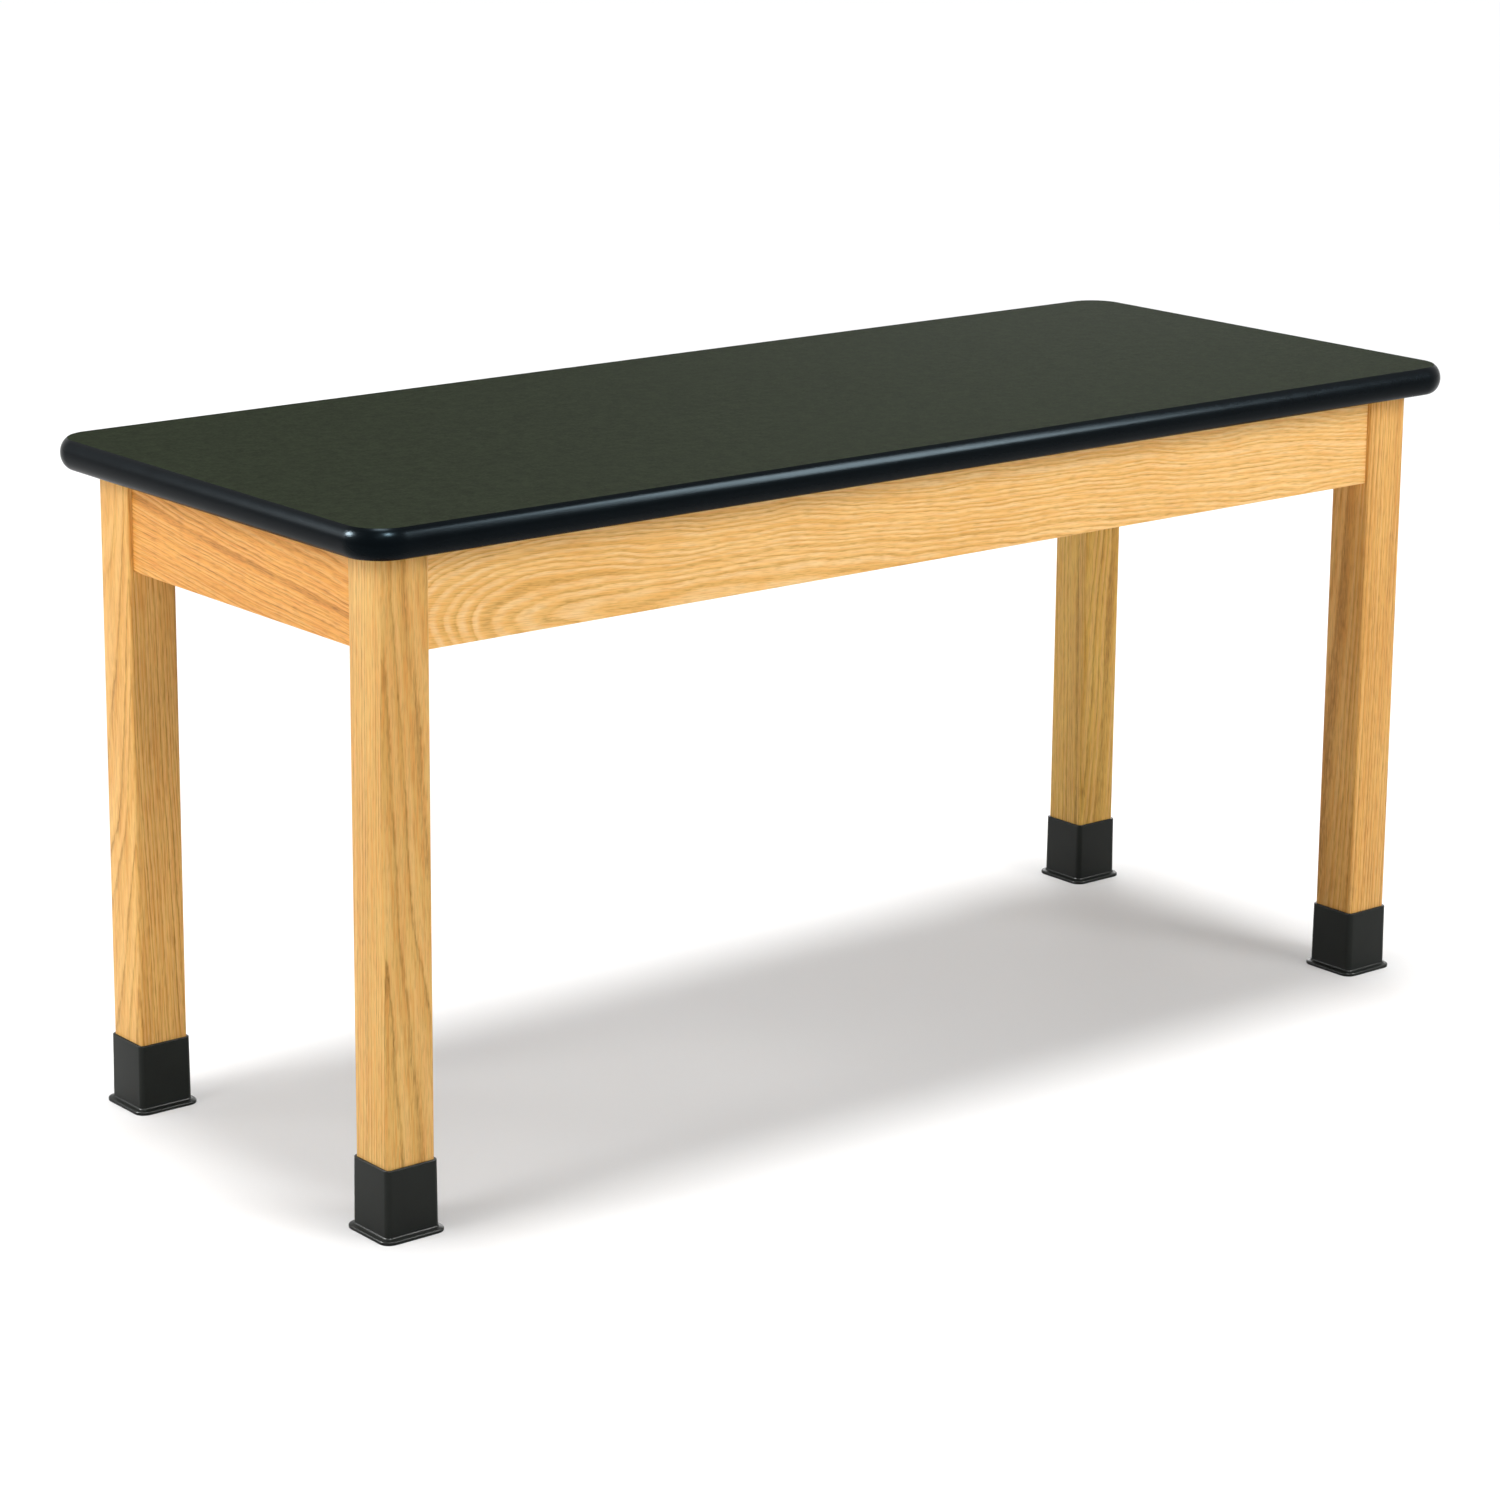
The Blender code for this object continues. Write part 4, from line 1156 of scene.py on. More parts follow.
@dataclass
class Worktop:
    """The particleboard top, its laminate, its backing sheet and its bullnose moulding."""

    core_half: Point2 = (0.7538, 0.2966)
    core_radius: float = 0.0381
    core_middle: float = 0.7205
    laminate_thickness: float = 0.0015
    laminate_ease: float = 0.0002
    cap_depth: float = 0.0079
    tongue_length: float = 0.0095
    tongue_half: float = 0.0008
    barb: float = 0.0005
    barbs: int = 2
    corner_steps: int = 28
    bullnose_steps: int = 30
    bullnose_spread: float = math.radians(64.0)  # how far its face turns up and down

    def moulding(self) -> Mesh:
        """Make the T moulding: a half round cap with its barbed tongue in the core's slot.

        Returns:
            The moulding's mesh.
        """
        above = TABLE_HEIGHT - self.core_middle
        below = self.core_middle - TOP_UNDERSIDE
        middle, half = (above - below) / 2, (above + below) / 2
        spread = self.bullnose_spread
        round_face = arc((0.0, 0.0), 1.0, spread, -2 * spread, self.bullnose_steps)
        flat, tall = math.cos(spread), math.sin(spread)
        section = [
            (SEAT_GAP + self.cap_depth * (out - flat) / (1.0 - flat), middle + half * up / tall)
            for out, up in round_face
        ]
        pitch = self.tongue_length / (self.barbs + 1)
        lower = [(SEAT_GAP, -self.tongue_half)]
        for barb in range(1, self.barbs + 1):
            lower.append((-barb * pitch, -self.tongue_half - self.barb))
            lower.append((-barb * pitch, -self.tongue_half))
        lower.append((-self.tongue_length, -self.tongue_half / 2))
        section += lower + [(out, -up) for out, up in reversed(lower)]
        rim = (self.core_half, self.core_radius, self.corner_steps)
        return swept_ring("edge_moulding", *rim, section, self.core_middle)

    def build(self, nodes: dict[str, bpy.types.Object]) -> None:
        """Dress the top.

        Args:
            nodes: The CAD nodes by name.
        """
        laminate = domed_plate(
            "laminate", self.core_half, self.core_radius, self.corner_steps,
            TABLE_HEIGHT - self.laminate_thickness, TABLE_HEIGHT, self.laminate_ease,
        )
        add_piece("laminate_sheet", laminate, LAMINATE.material(), STATIC_BODY, ["top_laminate"])
        add_piece("bullnose_edge", self.moulding(), VINYL.material(), STATIC_BODY, ["edge_moulding"])
        dress(nodes["top_core"], Particleboard().material())
        dress(nodes["top_backer"], BACKER.material())


@dataclass
class OakFrame:
    """The legs, aprons and rail: CAD boards, each cut from its own part of the log."""

    face_y: float = LEG_CORNER[1] - APRON_RECESS
    face_x: float = LEG_CORNER[0] - APRON_RECESS
    leg_x: float = LEG_CORNER[0] - LEG_WIDTH / 2
    leg_y: float = LEG_CORNER[1] - LEG_WIDTH / 2
    leg_z: float = 0.35

    def boards(self) -> dict[str, Oak]:
        """Choose each board's oak: where in a log it was cut, and how that log grew.

        Returns:
            The oak, by the CAD node's name.
        """
        face_y, face_x, leg_x, leg_y, leg_z = self.face_y, self.face_x, self.leg_x, self.leg_y, self.leg_z
        up = (0.0, 0.0, 1.0)
        return {
            "front_apron": Oak(
                "oak_front_apron", (-0.585, -face_y, 0.620), (1.0, 0.0, -0.06), (0.0, -1.0, 0.0),
                depth=0.020, rise=0.022, reach=0.110, waver=0.0075, sweep=0.0180, ring=0.0060,
                contrast=0.56, gleam=0.42,
                pale="#FDCB7C", mid="#F5BC68", dark="#BC8636", warm="#F0AE5A", light="#FFE3B0",
            ),
            "rear_apron": Oak(
                "oak_rear_apron", (0.35, face_y, 0.660), (-1.0, 0.0, 0.02), (0.0, 1.0, 0.0),
                depth=0.090, rise=0.030, reach=0.60,
            ),
            "left_apron": Oak(
                "oak_left_apron", (-face_x, 0.30, 0.745), (0.0, -1.0, -0.09), (-1.0, 0.0, 0.0),
                depth=0.085, rise=0.018, reach=0.30, waver=0.0045, sweep=0.008, ring=0.0036,
                contrast=0.80, early=0.24, run=0.12, speckled=0.24,
                pale="#EFAB50", mid="#E19A3D", dark="#985A18", warm="#E1913E",
            ),
            "right_apron": Oak(
                "oak_right_apron", (face_x, 0.05, 0.640), (0.0, 1.0, 0.03), (1.0, 0.0, 0.0),
                depth=0.080, rise=0.020, reach=0.35,
            ),
            "centre_rail": Oak(
                "oak_centre_rail", (0.0, 0.0, 0.670), (0.0, 1.0, 0.02), (1.0, 0.0, 0.3), depth=0.10,
            ),
            "leg_front_left": Oak(
                "oak_leg_front_left", (-leg_x, -leg_y, leg_z), up, (-0.26, -0.96, 0.0),
                depth=0.16, ring=0.0044, rise=0.020, reach=1.2, waver=0.0024,
                contrast=0.78, early=0.18, run=0.17, speckled=0.20,
                pale="#E8BA69", mid="#DAA554", dark="#8C6024",
            ),
            "leg_front_right": Oak(
                "oak_leg_front_right", (leg_x, -leg_y, leg_z), up, (0.95, -0.30, 0.0),
                depth=0.15, rise=0.020, reach=1.0, waver=0.0020, contrast=0.75, early=0.24, run=0.15,
                pale="#EDB662", mid="#DFA350", dark="#9C6526",
            ),
            "leg_rear_right": Oak(
                "oak_leg_rear_right", (leg_x, leg_y, leg_z), up, (0.30, 0.95, 0.0),
                depth=0.14, rise=0.020, reach=1.0, contrast=0.75, early=0.24, run=0.15,
                pale="#EFC25E", mid="#E2AF4D", dark="#9C6A24", warm="#DEA040",
            ),
            "leg_rear_left": Oak(
                "oak_leg_rear_left", (-leg_x, leg_y, leg_z), up, (-0.96, -0.22, 0.0),
                depth=0.13, ring=0.0044, rise=0.028, reach=0.8, waver=0.0035,
                contrast=0.90, early=0.24, run=0.17, speckled=0.22, pale="#F3C06C", mid="#E6AE5A",
            ),
        }

    def build(self, nodes: dict[str, bpy.types.Object]) -> None:
        """Dress every board and soften the shading of its eased edges.

        Args:
            nodes: The CAD nodes by name.
        """
        tree = eased_tree()
        for name, oak in self.boards().items():
            dress(nodes[name], oak.material())
            put_tree(nodes[name], tree, {"Fold": SMOOTH_ANGLE})


@dataclass
class Shoe:
    """A moulded rubber shoe: a snug wall that flares through a fillet into a flat flange."""

    height: float = 0.0762
    top_wall: float = 0.0025
    bottom_wall: float = 0.0031
    lip: float = 0.0007
    fillet: float = 0.0024
    flange_top: float = 0.0046
    flange_fall: float = 0.0006
    flange_reach: float = 0.0091
    flange_tilt: float = math.radians(6.0)
    edge: float = 0.0016
    sole: float = 0.0008
    corner_radius: float = 0.0035
    corner_steps: int = 14
    lip_steps: int = 4
    fillet_steps: int = 7
    edge_steps: int = 6
    sole_steps: int = 3

    def section(self) -> list[Point2]:
        """Draw the shoe's section.

        Returns:
            Its points, each (outward, up) from the leg's face.
        """
        lip_out, lip_up = self.top_wall - self.lip, self.height - self.lip
        flare = QUARTER_TURN - self.flange_tilt
        centre = (self.bottom_wall + self.fillet, self.flange_top + self.fillet)
        brim = (self.flange_reach - self.edge, self.flange_top - self.flange_fall - self.edge)
        points = [(0.0, self.height), (lip_out, self.height)]
        points += arc((lip_out, lip_up), self.lip, QUARTER_TURN, -QUARTER_TURN, self.lip_steps)[1:]
        points += arc(centre, self.fillet, math.pi, flare, self.fillet_steps)
        points += arc(brim, self.edge, flare, -flare, self.edge_steps)
        heel = (self.flange_reach - self.sole, self.sole)
        points += arc(heel, self.sole, 0.0, -QUARTER_TURN, self.sole_steps)
        return points + [(self.sole, 0.0), (0.0, self.sole)]

    def build(self, corner: Corner, material: Material) -> None:
        """Put the shoe on its leg.

        Args:
            corner: The leg that wears it.
            material: The rubber.
        """
        half = LEG_WIDTH / 2 + SEAT_GAP
        mesh = swept_ring("shoe", (half, half), self.corner_radius, self.corner_steps, self.section())
        mesh.transform(corner.axis)
        node = "leg_shoe_" + corner.label
        add_piece("rubber_shoe_" + corner.label, mesh, material, node, [node])


@dataclass
class Glide:
    """A levelling glide: nylon pad, threaded stud with its hexagon collar, and brass insert."""

    pad_radius: float = 0.0159
    pad_height: float = 0.008
    pad_edge: float = 0.001
    pad_edge_steps: int = 4
    pad_side: float = 0.003
    pad_crown: float = 0.0087
    pad_floor: float = 0.0025
    pad_ease: float = 0.0004
    pad_bulge: float = 0.0004
    pad_bulge_steps: int = 4
    foot_radius: float = 0.0056
    foot_height: float = 0.002
    neck_radius: float = 0.004
    neck_ease: float = 0.0005
    collar_flats: float = 0.0143
    collar_bottom: float = 0.0083
    collar_thickness: float = 0.005
    collar_ease: float = 0.0006
    stud_radius: float = 0.0047625
    stud_tip: float = 0.0012
    stud_top: float = 0.0513
    pitch: float = 0.0015875
    thread_depth: float = 0.0006
    insert_radius: float = 0.0072
    insert_length: float = 0.015
    insert_flange: Point2 = (0.010, 0.0016)
    insert_ease: float = 0.0004
    steps: int = 40

    def pad(self) -> Mesh:
        """Make the pad, with the undercut socket that holds the stud's foot.

        Returns:
            The pad's mesh.
        """
        socket, throat = self.foot_radius + SEAT_GAP, self.neck_radius + SEAT_GAP
        socket_top = self.pad_floor + SEAT_GAP + self.foot_height + SEAT_GAP
        crown, ease = self.pad_crown, self.pad_ease
        profile = [(0.0, self.pad_floor), (socket, self.pad_floor), (socket, socket_top)]
        profile += [(throat, socket_top), (throat, self.pad_height - ease)]
        profile += [(throat + ease, self.pad_height), (crown, self.pad_height)]
        for step in range(1, self.pad_bulge_steps + 1):
            share = step / self.pad_bulge_steps
            bulge = math.sin(share * math.pi) * self.pad_bulge
            across = crown + (self.pad_radius - crown) * share + bulge
            profile.append((across, self.pad_height + (self.pad_side - self.pad_height) * share + bulge))
        rim = (self.pad_radius - self.pad_edge, self.pad_edge)
        profile += arc(rim, self.pad_edge, 0.0, -QUARTER_TURN, self.pad_edge_steps)
        return turned("pad", profile + [(0.0, 0.0)], self.steps)

    def stud(self, tree: Tree, material: Material) -> Mesh:
        """Make the stud: its foot, neck, hexagon collar and threaded shank.

        Args:
            tree: The thread tree.
            material: Its finish.

        Returns:
            The stud's mesh.
        """
        foot_bottom = self.pad_floor + SEAT_GAP
        foot_top = foot_bottom + self.foot_height
        root = self.stud_radius - self.thread_depth
        collar_bottom, collar_top = self.collar_bottom, self.collar_bottom + self.collar_thickness
        tip = self.stud_top - self.stud_tip
        profile = [(0.0, self.stud_top), (root - self.stud_tip / 2, self.stud_top), (root, tip)]
        profile.append((root, collar_bottom + 2 * self.neck_ease))
        profile += [(self.neck_radius, collar_bottom + self.neck_ease), (self.neck_radius, foot_top)]
        profile += [(self.foot_radius, foot_top), (self.foot_radius, foot_bottom), (0.0, foot_bottom)]
        thread = {
            "Radius": self.stud_radius, "Depth": self.thread_depth, "Pitch": self.pitch, "Material": material,
            "Length": tip - collar_top - self.pitch, "Start": collar_top + self.pitch / 2,
        }
        shank = run_tree(tree, "shank", turned("shank", profile, self.steps), thread)
        collar = hexagon(self.collar_flats, collar_bottom, collar_top, self.collar_ease)
        return merged("stud", [shank, collar])

    def insert(self) -> Mesh:
        """Make the flanged brass insert pressed into the leg's end.

        Returns:
            The insert's mesh.
        """
        bore, body, ease = self.stud_radius + SEAT_GAP, self.insert_radius, self.insert_ease
        flange, thickness = self.insert_flange
        top = LEG_BOTTOM + self.insert_length
        bottom = LEG_BOTTOM - thickness - SEAT_GAP
        shoulder = bottom + thickness
        profile = [(bore, top), (body - ease, top), (body, top - ease), (body, shoulder)]
        profile += [(flange - ease, shoulder), (flange, shoulder - ease), (flange, bottom + ease)]
        profile += [(flange - ease, bottom), (bore + ease, bottom), (bore, bottom + ease)]
        return turned("insert", profile, self.steps, closed=True)

    def build(self, corner: Corner, tree: Tree, nylon: Material, zinc: Material, brass: Material) -> None:
        """Put the glide under its leg.

        Args:
            corner: The leg that it carries.
            tree: The thread tree.
            nylon: The pad's finish.
            zinc: The stud's finish.
            brass: The insert's finish.
        """
        pad, stud = "glide_pad_" + corner.label, "glide_stud_" + corner.label
        insert = "threaded_insert_" + corner.label
        add_piece("nylon_pad_" + corner.label, placed(self.pad(), corner.axis), nylon, pad, [pad])
        shank = placed(self.stud(tree, zinc), corner.axis)
        add_piece("levelling_stud_" + corner.label, shank, zinc, stud, [stud])
        sleeve = placed(self.insert(), corner.axis)
        add_piece("brass_insert_" + corner.label, sleeve, brass, STATIC_BODY, [insert])


@dataclass
class Screw:
    """A pan head wood screw with a cross recess, its point up and its head under Z = 0."""

    radius: float = 0.0021
    length: float = 0.015
    point: float = 0.004
    head_radius: float = 0.0045
    head_height: float = 0.0028
    head_steps: int = 6
    bite: float = 0.0005
    recess_width: float = 0.0009
    recess_reach: float = 0.0024
    recess_depth: float = 0.0016
    pitch: float = 0.0016
    thread_depth: float = 0.0004
    steps: int = 24

    def build(self, tree: Tree, material: Material) -> Mesh:
        """Make the screw.

        Args:
            tree: The thread tree.
            material: Its finish.

        Returns:
            The screw's mesh.
        """
        root = self.radius - self.thread_depth
        dome = arc((0.0, 0.0), 1.0, 0.0, -QUARTER_TURN, self.head_steps)
        profile = [(0.0, self.length), (root, self.length - self.point), (root, self.bite)]
        profile.append((self.head_radius, self.bite))
        profile += [(self.head_radius * across, self.head_height * up) for across, up in dome[:-1]]
        profile.append((0.0, -self.head_height))
        shank = turned("screw", profile, self.steps)
        wide, reach = self.recess_width / 2, self.recess_reach
        arms = []
        for x, y in ((wide, reach), (reach, wide)):
            outline = [(x, -y), (x, y), (-x, y), (-x, -y)]
            arms.append(prism("recess", outline, -2 * self.head_height, self.recess_depth - self.head_height))
        cut = combined("screw", shank, arms, "DIFFERENCE")
        thread = {
            "Radius": self.radius, "Depth": self.thread_depth, "Pitch": self.pitch, "Material": material,
            "Length": self.length - self.point - 2 * self.bite, "Start": 2 * self.bite,
        }
        return run_tree(tree, "screw", cut, thread)


@dataclass
class CornerJoint:
    """What clamps the legs: folded brackets hooked in the aprons' kerfs, bolts, nuts and screws."""

    sheet: float = 0.002
    standoff: float = 0.008
    height: float = 0.0762
    drop: float = 0.018
    wing: float = 0.032
    hook: float = 0.008
    chamfer: float = 0.018
    bend: float = 0.0012
    bolt_radius: float = 0.004
    bolt_in_leg: float = 0.03
    bolt_spacing: float = 0.0381
    bolt_tip: float = 0.006
    bolt_tip_ease: Point2 = (0.0006, 0.0008)
    bolt_point: float = 0.0035
    bolt_shoulder: float = 0.001
    hole_reach: float = 0.02
    lag_pitch: float = 0.0026
    lag_depth: float = 0.0007
    bolt_pitch: float = 0.00127
    bolt_depth: float = 0.00045
    nut_flats: float = 0.0127
    nut_height: float = 0.0085
    nut_flange: Point2 = (0.0088, 0.0018)
    nut_skirt: float = 0.0012  # how far the skirt rises past the flange
    nut_ease: float = 0.0006
    flange_ease: float = 0.0004
    flange_levels: Point2 = (0.7, 0.4)  # where its eased edge begins and ends, as shares of its height
    screw_spacing: float = 0.0445
    steps: int = 32

    @property
    def middle(self) -> float:
        """Return the height of the bracket's middle."""
        return FRAME_TOP - self.drop - self.height / 2

    @property
    def face(self) -> float:
        """Return how far in from the leg's outer face the bracket lies on an apron."""
        return APRON_BACK + SEAT_GAP

    @property
    def chamfer_plane(self) -> float:
        """Return X plus Y on the leg's planed inner corner."""
        return 2 * LEG_WIDTH - self.chamfer

    @property
    def plate_plane(self) -> float:
        """Return X plus Y on the bracket's diagonal, the side towards the leg."""
        return self.chamfer_plane + self.standoff * math.sqrt(2.0)

    def levels(self, spacing: float) -> tuple[float, float]:
        """Return the heights of two fasteners this far apart, about the bracket's middle."""
        return (self.middle - spacing / 2, self.middle + spacing / 2)

    def bracket(self) -> Mesh:
        """Make the bracket: one strip folded four times, with its two bolt holes.

        Returns:
            The bracket's mesh.
        """
        wing_start = self.plate_plane - self.face
        hook_place = wing_start + self.wing
        folds = [(hook_place, self.face - self.hook), (hook_place, self.face), (wing_start, self.face)]
        folds += [(along, across) for across, along in reversed(folds)]
        strip = folded_sheet("bracket", folds, self.sheet, self.bend, self.height)
        strip.transform(shifted(0.0, 0.0, self.middle - self.height / 2))
        radius, past = self.bolt_radius + SEAT_GAP, self.hole_reach
        hole = turned("hole", [(0.0, past), (radius, past), (radius, -past), (0.0, -past)], self.steps)
        through = self.plate_plane / 2
        holes = [
            placed(hole, shifted(through, through, height) @ facing((1.0, 1.0, 0.0)))
            for height in self.levels(self.bolt_spacing)
        ]
        return combined("bracket", strip, holes, "DIFFERENCE")

    def bolt(self, tree: Tree, material: Material) -> Mesh:
        """Make a hanger bolt, its point at Z = 0: wood thread below, machine thread above.

        Args:
            tree: The thread tree.
            material: Its finish.

        Returns:
            The bolt's mesh.
        """
        length = self.bolt_in_leg + self.standoff + self.sheet + SEAT_GAP + self.nut_height + self.bolt_tip
        root = self.bolt_radius - self.lag_depth
        shank = self.bolt_radius - self.bolt_depth
        shoulder, (ease_in, ease_down) = self.bolt_in_leg, self.bolt_tip_ease
        profile = [(0.0, length), (shank - ease_in, length), (shank, length - ease_down), (shank, shoulder)]
        profile += [(root, shoulder - self.bolt_shoulder), (root, self.bolt_point), (0.0, 0.0)]
        rod = turned("bolt", profile, self.steps)
        lag = {
            "Radius": self.bolt_radius, "Depth": self.lag_depth, "Pitch": self.lag_pitch,
            "Length": shoulder - self.bolt_point - self.lag_pitch, "Start": self.bolt_point,
            "Material": material,
        }
        machine = {
            "Radius": self.bolt_radius, "Depth": self.bolt_depth, "Pitch": self.bolt_pitch,
            "Length": length - shoulder - 2 * self.bolt_pitch, "Start": shoulder + self.bolt_pitch / 2,
            "Material": material,
        }
        return run_tree(tree, "bolt", run_tree(tree, "bolt", rod, lag), machine)

    def nut(self) -> Mesh:
        """Make a flange nut, its flange down on Z = 0.

        Returns:
            The nut's mesh.
        """
        reach, flange = self.nut_flange
        skirt_top = flange + self.nut_skirt
        high, low = [flange * share for share in self.flange_levels]
        profile = [(0.0, skirt_top), (self.nut_flats / 2, skirt_top), (reach - self.flange_ease, high)]
        skirt = turned("skirt", profile + [(reach, low), (reach, 0.0), (0.0, 0.0)], self.steps)
        head = hexagon(self.nut_flats, flange / 2, self.nut_height, self.nut_ease)
        radius, past = self.bolt_radius + SEAT_GAP, 2 * self.nut_height
        bore = turned("bore", [(0.0, past), (radius, past), (radius, -past), (0.0, -past)], self.steps)
        return combined("nut", combined("nut", head, [skirt], "UNION"), [bore], "DIFFERENCE")

    def build(self, threads: Tree, rows: Tree, zinc: Material) -> None:
        """Put the metalwork in all four corners.

        Args:
            threads: The thread tree.
            rows: The row tree.
            zinc: The metal's finish.
        """
        bracket, outward = self.bracket(), facing((1.0, 1.0, 0.0))
        bolts, nuts, screws = [], [], []
        bolt_nodes, nut_nodes, bracket_nodes = [], [], []
        seat = self.face + self.sheet
        along = self.plate_plane - self.face + self.wing / 2
        mouth = self.chamfer_plane / 2
        nut_seat = self.plate_plane / 2 + (self.sheet + SEAT_GAP) / math.sqrt(2.0)
        for corner in Corner:
            node = "bracket_" + corner.label
            bracket_nodes.append(node)
            add_piece("folded_" + node, placed(bracket, corner.frame), zinc, STATIC_BODY, [node])
            for level, height in zip(("_lower", "_upper"), self.levels(self.bolt_spacing)):
                hole = corner.frame @ shifted(mouth, mouth, height) @ outward
                bolts.append(hole @ shifted(0.0, 0.0, -self.bolt_in_leg))
                nuts.append(corner.frame @ shifted(nut_seat, nut_seat, height) @ outward)
                bolt_nodes.append("hanger_bolt_" + corner.label + level)
                nut_nodes.append("flange_nut_" + corner.label + level)
            for height in self.levels(self.screw_spacing):
                front = shifted(along, seat, height) @ facing((0.0, -1.0, 0.0))
                side = shifted(seat, along, height) @ facing((-1.0, 0.0, 0.0))
                screws += [corner.frame @ front, corner.frame @ side]
        kinds = (
            ("hanger_bolts", self.bolt(threads, zinc), bolts, bolt_nodes),
            ("flange_nuts", self.nut(), nuts, nut_nodes),
            ("bracket_screws", Screw().build(threads, zinc), screws, bracket_nodes),
        )
        for name, fastener, places, replaced in kinds:
            add_piece(name, fastener_row(rows, name, fastener, places, zinc), zinc, STATIC_BODY, replaced)


@dataclass
class TopClips:
    """The Z clips that hold the top down: each has its tongue in an apron's groove and one screw."""

    sheet: float = 0.002
    width: float = 0.016
    reach: float = 0.023
    step: float = 0.003
    tongue: float = 0.008
    groove_drop: float = 0.010
    bend: float = 0.0010
    along: float = 0.330

    def frames(self) -> dict[str, Matrix]:
        """Find the clips' places.

        Returns:
            Each clip's frame by its CAD node: on an apron's inner face, +Y pointing in.
        """
        frames = {}
        for quarter, side in enumerate(("front", "right", "rear", "left")):
            turn = Matrix.Rotation(quarter * QUARTER_TURN, 4, "Z")
            long_side = quarter % 2 == 0
            corner = LEG_CORNER[1] if long_side else LEG_CORNER[0]
            places = {"_a": -self.along, "_b": self.along} if long_side else {"": 0.0}
            for suffix, along in places.items():
                frames["top_clip_" + side + suffix] = turn @ shifted(along, APRON_BACK - corner, 0.0)
        return frames

    def clip(self) -> Mesh:
        """Make one clip, folded twice.

        Returns:
            The clip's mesh.
        """
        tongue_top = FRAME_TOP - self.groove_drop - SEAT_GAP
        folds = [(-self.tongue, tongue_top), (self.step, tongue_top)]
        folds += [(self.step, FRAME_TOP), (self.reach, FRAME_TOP)]
        clip = folded_sheet("clip", folds, self.sheet, self.bend, self.width)
        clip.transform(shifted(0.0, 0.0, -self.width / 2))
        # The strip was drawn flat: its X becomes Y, its Y becomes Z, and its width runs along X.
        clip.transform(Matrix(((0, 0, 1, 0), (1, 0, 0, 0), (0, 1, 0, 0), (0, 0, 0, 1))))
        return clip

    def build(self, threads: Tree, rows: Tree, zinc: Material) -> None:
        """Put the clips and their screws round the aprons.

        Args:
            threads: The thread tree.
            rows: The row tree.
            zinc: The metal's finish.
        """
        clip, frames = self.clip(), self.frames()
        for node, frame in frames.items():
            add_piece("folded_" + node, placed(clip, frame), zinc, STATIC_BODY, [node])
        foot = shifted(0.0, (self.step + self.sheet + self.reach) / 2, FRAME_TOP - self.sheet)
        screws = [frame @ foot for frame in frames.values()]
        mesh = fastener_row(rows, "clip_screws", Screw().build(threads, zinc), screws, zinc)
        add_piece("clip_screws", mesh, zinc, STATIC_BODY, list(frames))


@dataclass(frozen=True)
class SoftBox:
    """A soft box that points at the table."""

    name: str
    place: Point3
    size: Point2  # its width and its height
    power: float  # in watts
    matte: bool = True  # whether it lights matte surfaces
    gloss: bool = True  # whether glossy surfaces mirror it
    target: Point3 = (0.0, 0.0, 0.45)  # the middle of the table

    def build(self) -> None:
        """Hang the box."""
        lamp = bpy.data.lights.new(self.name, "AREA")
        lamp.shape, lamp.energy = "RECTANGLE", self.power
        lamp.size, lamp.size_y = self.size
        box = in_scene(self.name, lamp)
        box.visible_diffuse, box.visible_glossy = self.matte, self.gloss
        box.matrix_world = shifted(*self.place) @ lamp_facing(Vector(self.target) - Vector(self.place))


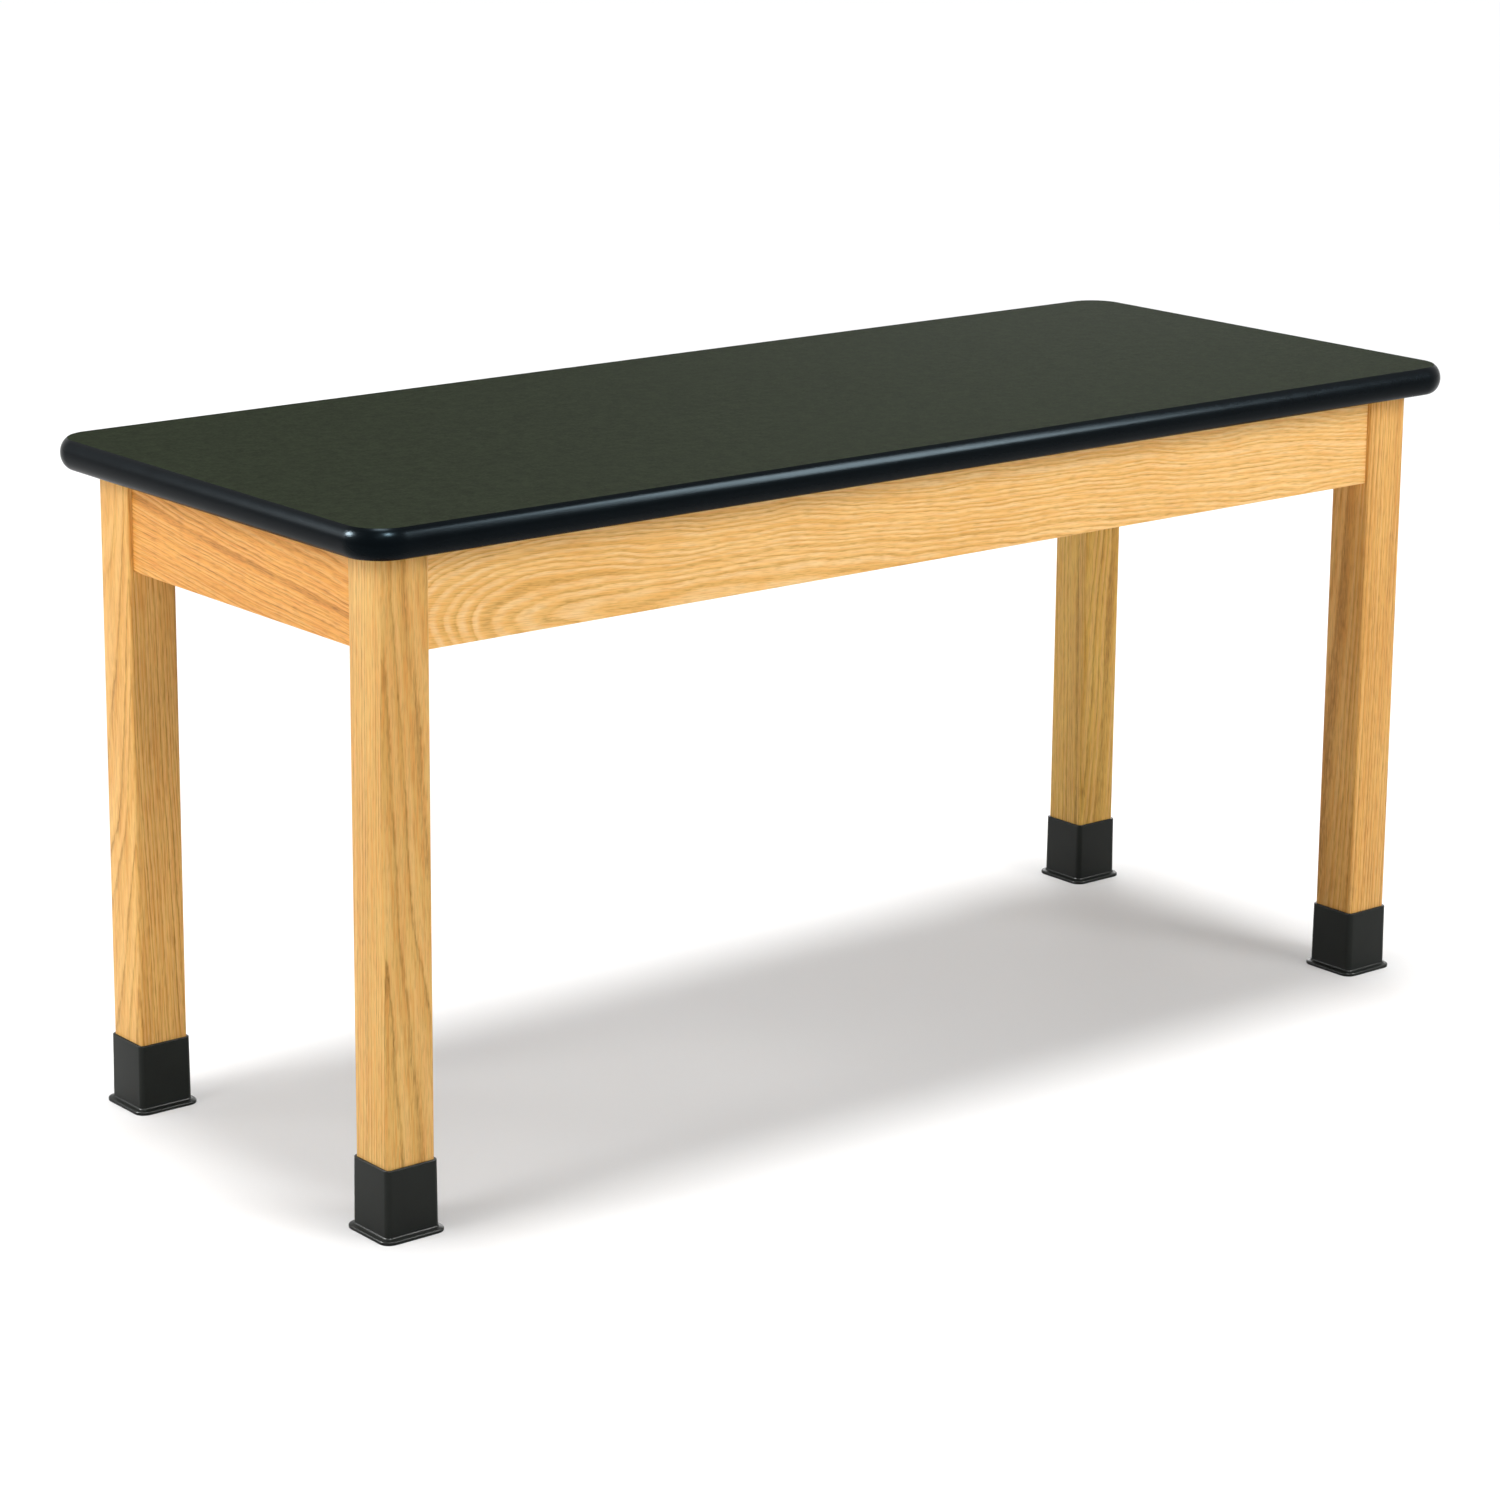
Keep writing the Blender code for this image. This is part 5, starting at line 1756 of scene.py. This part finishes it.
@dataclass
class Studio:
    """A white floor, a soft sun overhead for the table's own shadow, and soft boxes round it.

    Four of the boxes only show as highlights, on the top and its glossy edge.
    """

    floor_size: float = 60.0
    floor_colour: str = "#CDCDCD"
    floor_glow: float = 0.27
    world_light: float = 0.06
    sun: float = 3.6
    sun_angle: float = math.radians(18.5)
    sunlight: Point3 = (-0.02, -0.045, -1.0)  # the way it travels
    boxes: tuple[SoftBox, ...] = (
        SoftBox("left_box", (-3.6, 0.3, 2.5), (1.8, 1.4), 66.0, gloss=False),
        SoftBox("fill_box", (-2.5, -2.7, 3.1), (1.2, 1.2), 14.0),
        SoftBox("front_box", (1.2, -3.1, 2.3), (1.6, 1.4), 63.0, gloss=False),
        SoftBox("rear_left_box", (-3.2, 2.6, 1.6), (1.0, 1.0), 22.0),
        SoftBox("rear_right_box", (2.6, 2.9, 1.3), (1.2, 1.2), 22.0),
        SoftBox("edge_strip", (2.04, -2.46, 2.46), (0.75, 1.7), 330.0, matte=False),
        SoftBox("side_glint", (-3.1, 1.6, 2.3), (0.9, 0.9), 600.0, matte=False),
        SoftBox("corner_glint", (-1.05, -1.95, 2.9), (0.45, 0.45), 220.0, matte=False),
        SoftBox("top_sheen", (3.6, 2.6, 1.2), (1.4, 0.8), 27.0, matte=False),
    )

    def build(self) -> None:
        """Make the floor, the world and the lamps."""
        self._floor()
        self._world()
        self._sun()
        for box in self.boxes:
            box.build()

    def _floor(self) -> None:
        """Lay the floor: white where it is open, with the table's shadow on it."""
        half = self.floor_size / 2
        corners = [(-half, -half, 0.0), (half, -half, 0.0), (half, half, 0.0), (-half, half, 0.0)]
        mesh = bpy.data.meshes.new("floor")
        mesh.from_pydata(corners, [], [(0, 1, 2, 3)])
        floor = in_scene("floor", mesh)
        material, tree = new_material("studio_floor")
        paint = linear_colour(self.floor_colour)
        matte = add_node(tree, "ShaderNodeBsdfDiffuse", {"Color": paint}).outputs[0]
        strength = add_node(
            tree, "ShaderNodeMath", {0: self._seen(tree), 1: self.floor_glow}, operation="MULTIPLY"
        ).outputs[0]
        glow = add_node(tree, "ShaderNodeEmission", {"Color": grey(1.0), "Strength": strength}).outputs[0]
        lit = add_node(tree, "ShaderNodeAddShader", {0: matte, 1: glow}).outputs[0]
        clear = add_node(tree, "ShaderNodeBsdfTransparent").outputs[0]
        below = add_node(tree, "ShaderNodeNewGeometry").outputs["Backfacing"]
        either = add_node(tree, "ShaderNodeMixShader", {0: below, 1: lit, 2: clear}).outputs[0]
        add_node(tree, "ShaderNodeOutputMaterial", {"Surface": either})
        mesh.materials.append(material)

    def _world(self) -> None:
        """Light the room evenly, and show it white to the camera and in reflections."""
        world = bpy.data.worlds.new("white_room")
        bpy.context.scene.world = world
        world.use_nodes = True
        tree = world.node_tree
        tree.nodes.clear()
        strength = add_node(
            tree, "ShaderNodeMapRange", {"Value": self._seen(tree), "To Min": self.world_light, "To Max": 1.0}
        ).outputs[0]
        background = add_node(
            tree, "ShaderNodeBackground", {"Color": grey(1.0), "Strength": strength}
        ).outputs[0]
        add_node(tree, "ShaderNodeOutputWorld", {"Surface": background})

    def _seen(self, tree: Tree) -> Socket:
        """Tell whether the camera, a reflection or a transmission sees the surface.

        Args:
            tree: The tree of the floor or the world.

        Returns:
            1 where one of them does, and else 0.
        """
        ray = add_node(tree, "ShaderNodeLightPath").outputs
        mirrored = add_node(
            tree, "ShaderNodeMath", {0: ray["Is Glossy Ray"], 1: ray["Is Transmission Ray"]},
            operation="MAXIMUM",
        ).outputs[0]
        return add_node(
            tree, "ShaderNodeMath", {0: ray["Is Camera Ray"], 1: mirrored}, operation="MAXIMUM"
        ).outputs[0]

    def _sun(self) -> None:
        """Hang a soft sun almost straight overhead."""
        lamp = bpy.data.lights.new("overhead_sun", "SUN")
        lamp.energy, lamp.angle = self.sun, self.sun_angle
        in_scene("overhead_sun", lamp).matrix_world = lamp_facing(self.sunlight)


@dataclass
class PhotoCamera:
    """The camera that took the photograph, solved from the table's own straight edges."""

    place: Point3 = (-2.93907, -3.56096, 1.60104)
    yaw: float = math.radians(39.06)
    pitch: float = math.radians(13.34)
    roll: float = math.radians(0.45)
    focal_pixels: float = 4231.5
    picture: float = 1500.0
    sensor_mm: float = 36.0
    shift_up: float = -0.1  # in picture widths; more of it would cut the top off in other views
    farthest: float = 200.0

    def build(self) -> None:
        """Add the camera to the scene and look through it."""
        data = bpy.data.cameras.new("photo_camera")
        data.sensor_width = self.sensor_mm
        data.lens = self.focal_pixels / self.picture * self.sensor_mm
        data.shift_y = self.shift_up
        data.clip_end = self.farthest
        camera = in_scene("photo_camera", data)
        turn = Matrix.Rotation(-self.yaw, 4, "Z") @ Matrix.Rotation(QUARTER_TURN - self.pitch, 4, "X")
        camera.matrix_world = shifted(*self.place) @ turn @ Matrix.Rotation(self.roll, 4, "Z")
        bpy.context.scene.camera = camera


def main() -> None:
    """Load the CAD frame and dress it."""
    logging.basicConfig(level=logging.INFO, format="%(name)s: %(message)s")
    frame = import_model()
    nodes = frame["nodes"]
    bpy.context.scene.view_settings.view_transform = "Standard"
    PhotoCamera().build()
    Studio().build()
    Worktop().build(nodes)
    OakFrame().build(nodes)
    threads, rows = thread_tree(), row_tree()
    rubber, nylon, zinc, brass = (finish.material() for finish in (RUBBER, NYLON, ZINC, BRASS))
    for corner in Corner:
        Shoe().build(corner, rubber)
        Glide().build(corner, threads, nylon, zinc, brass)
    CornerJoint().build(threads, rows, zinc)
    TopClips().build(threads, rows, zinc)


if __name__ == "__main__":
    main()
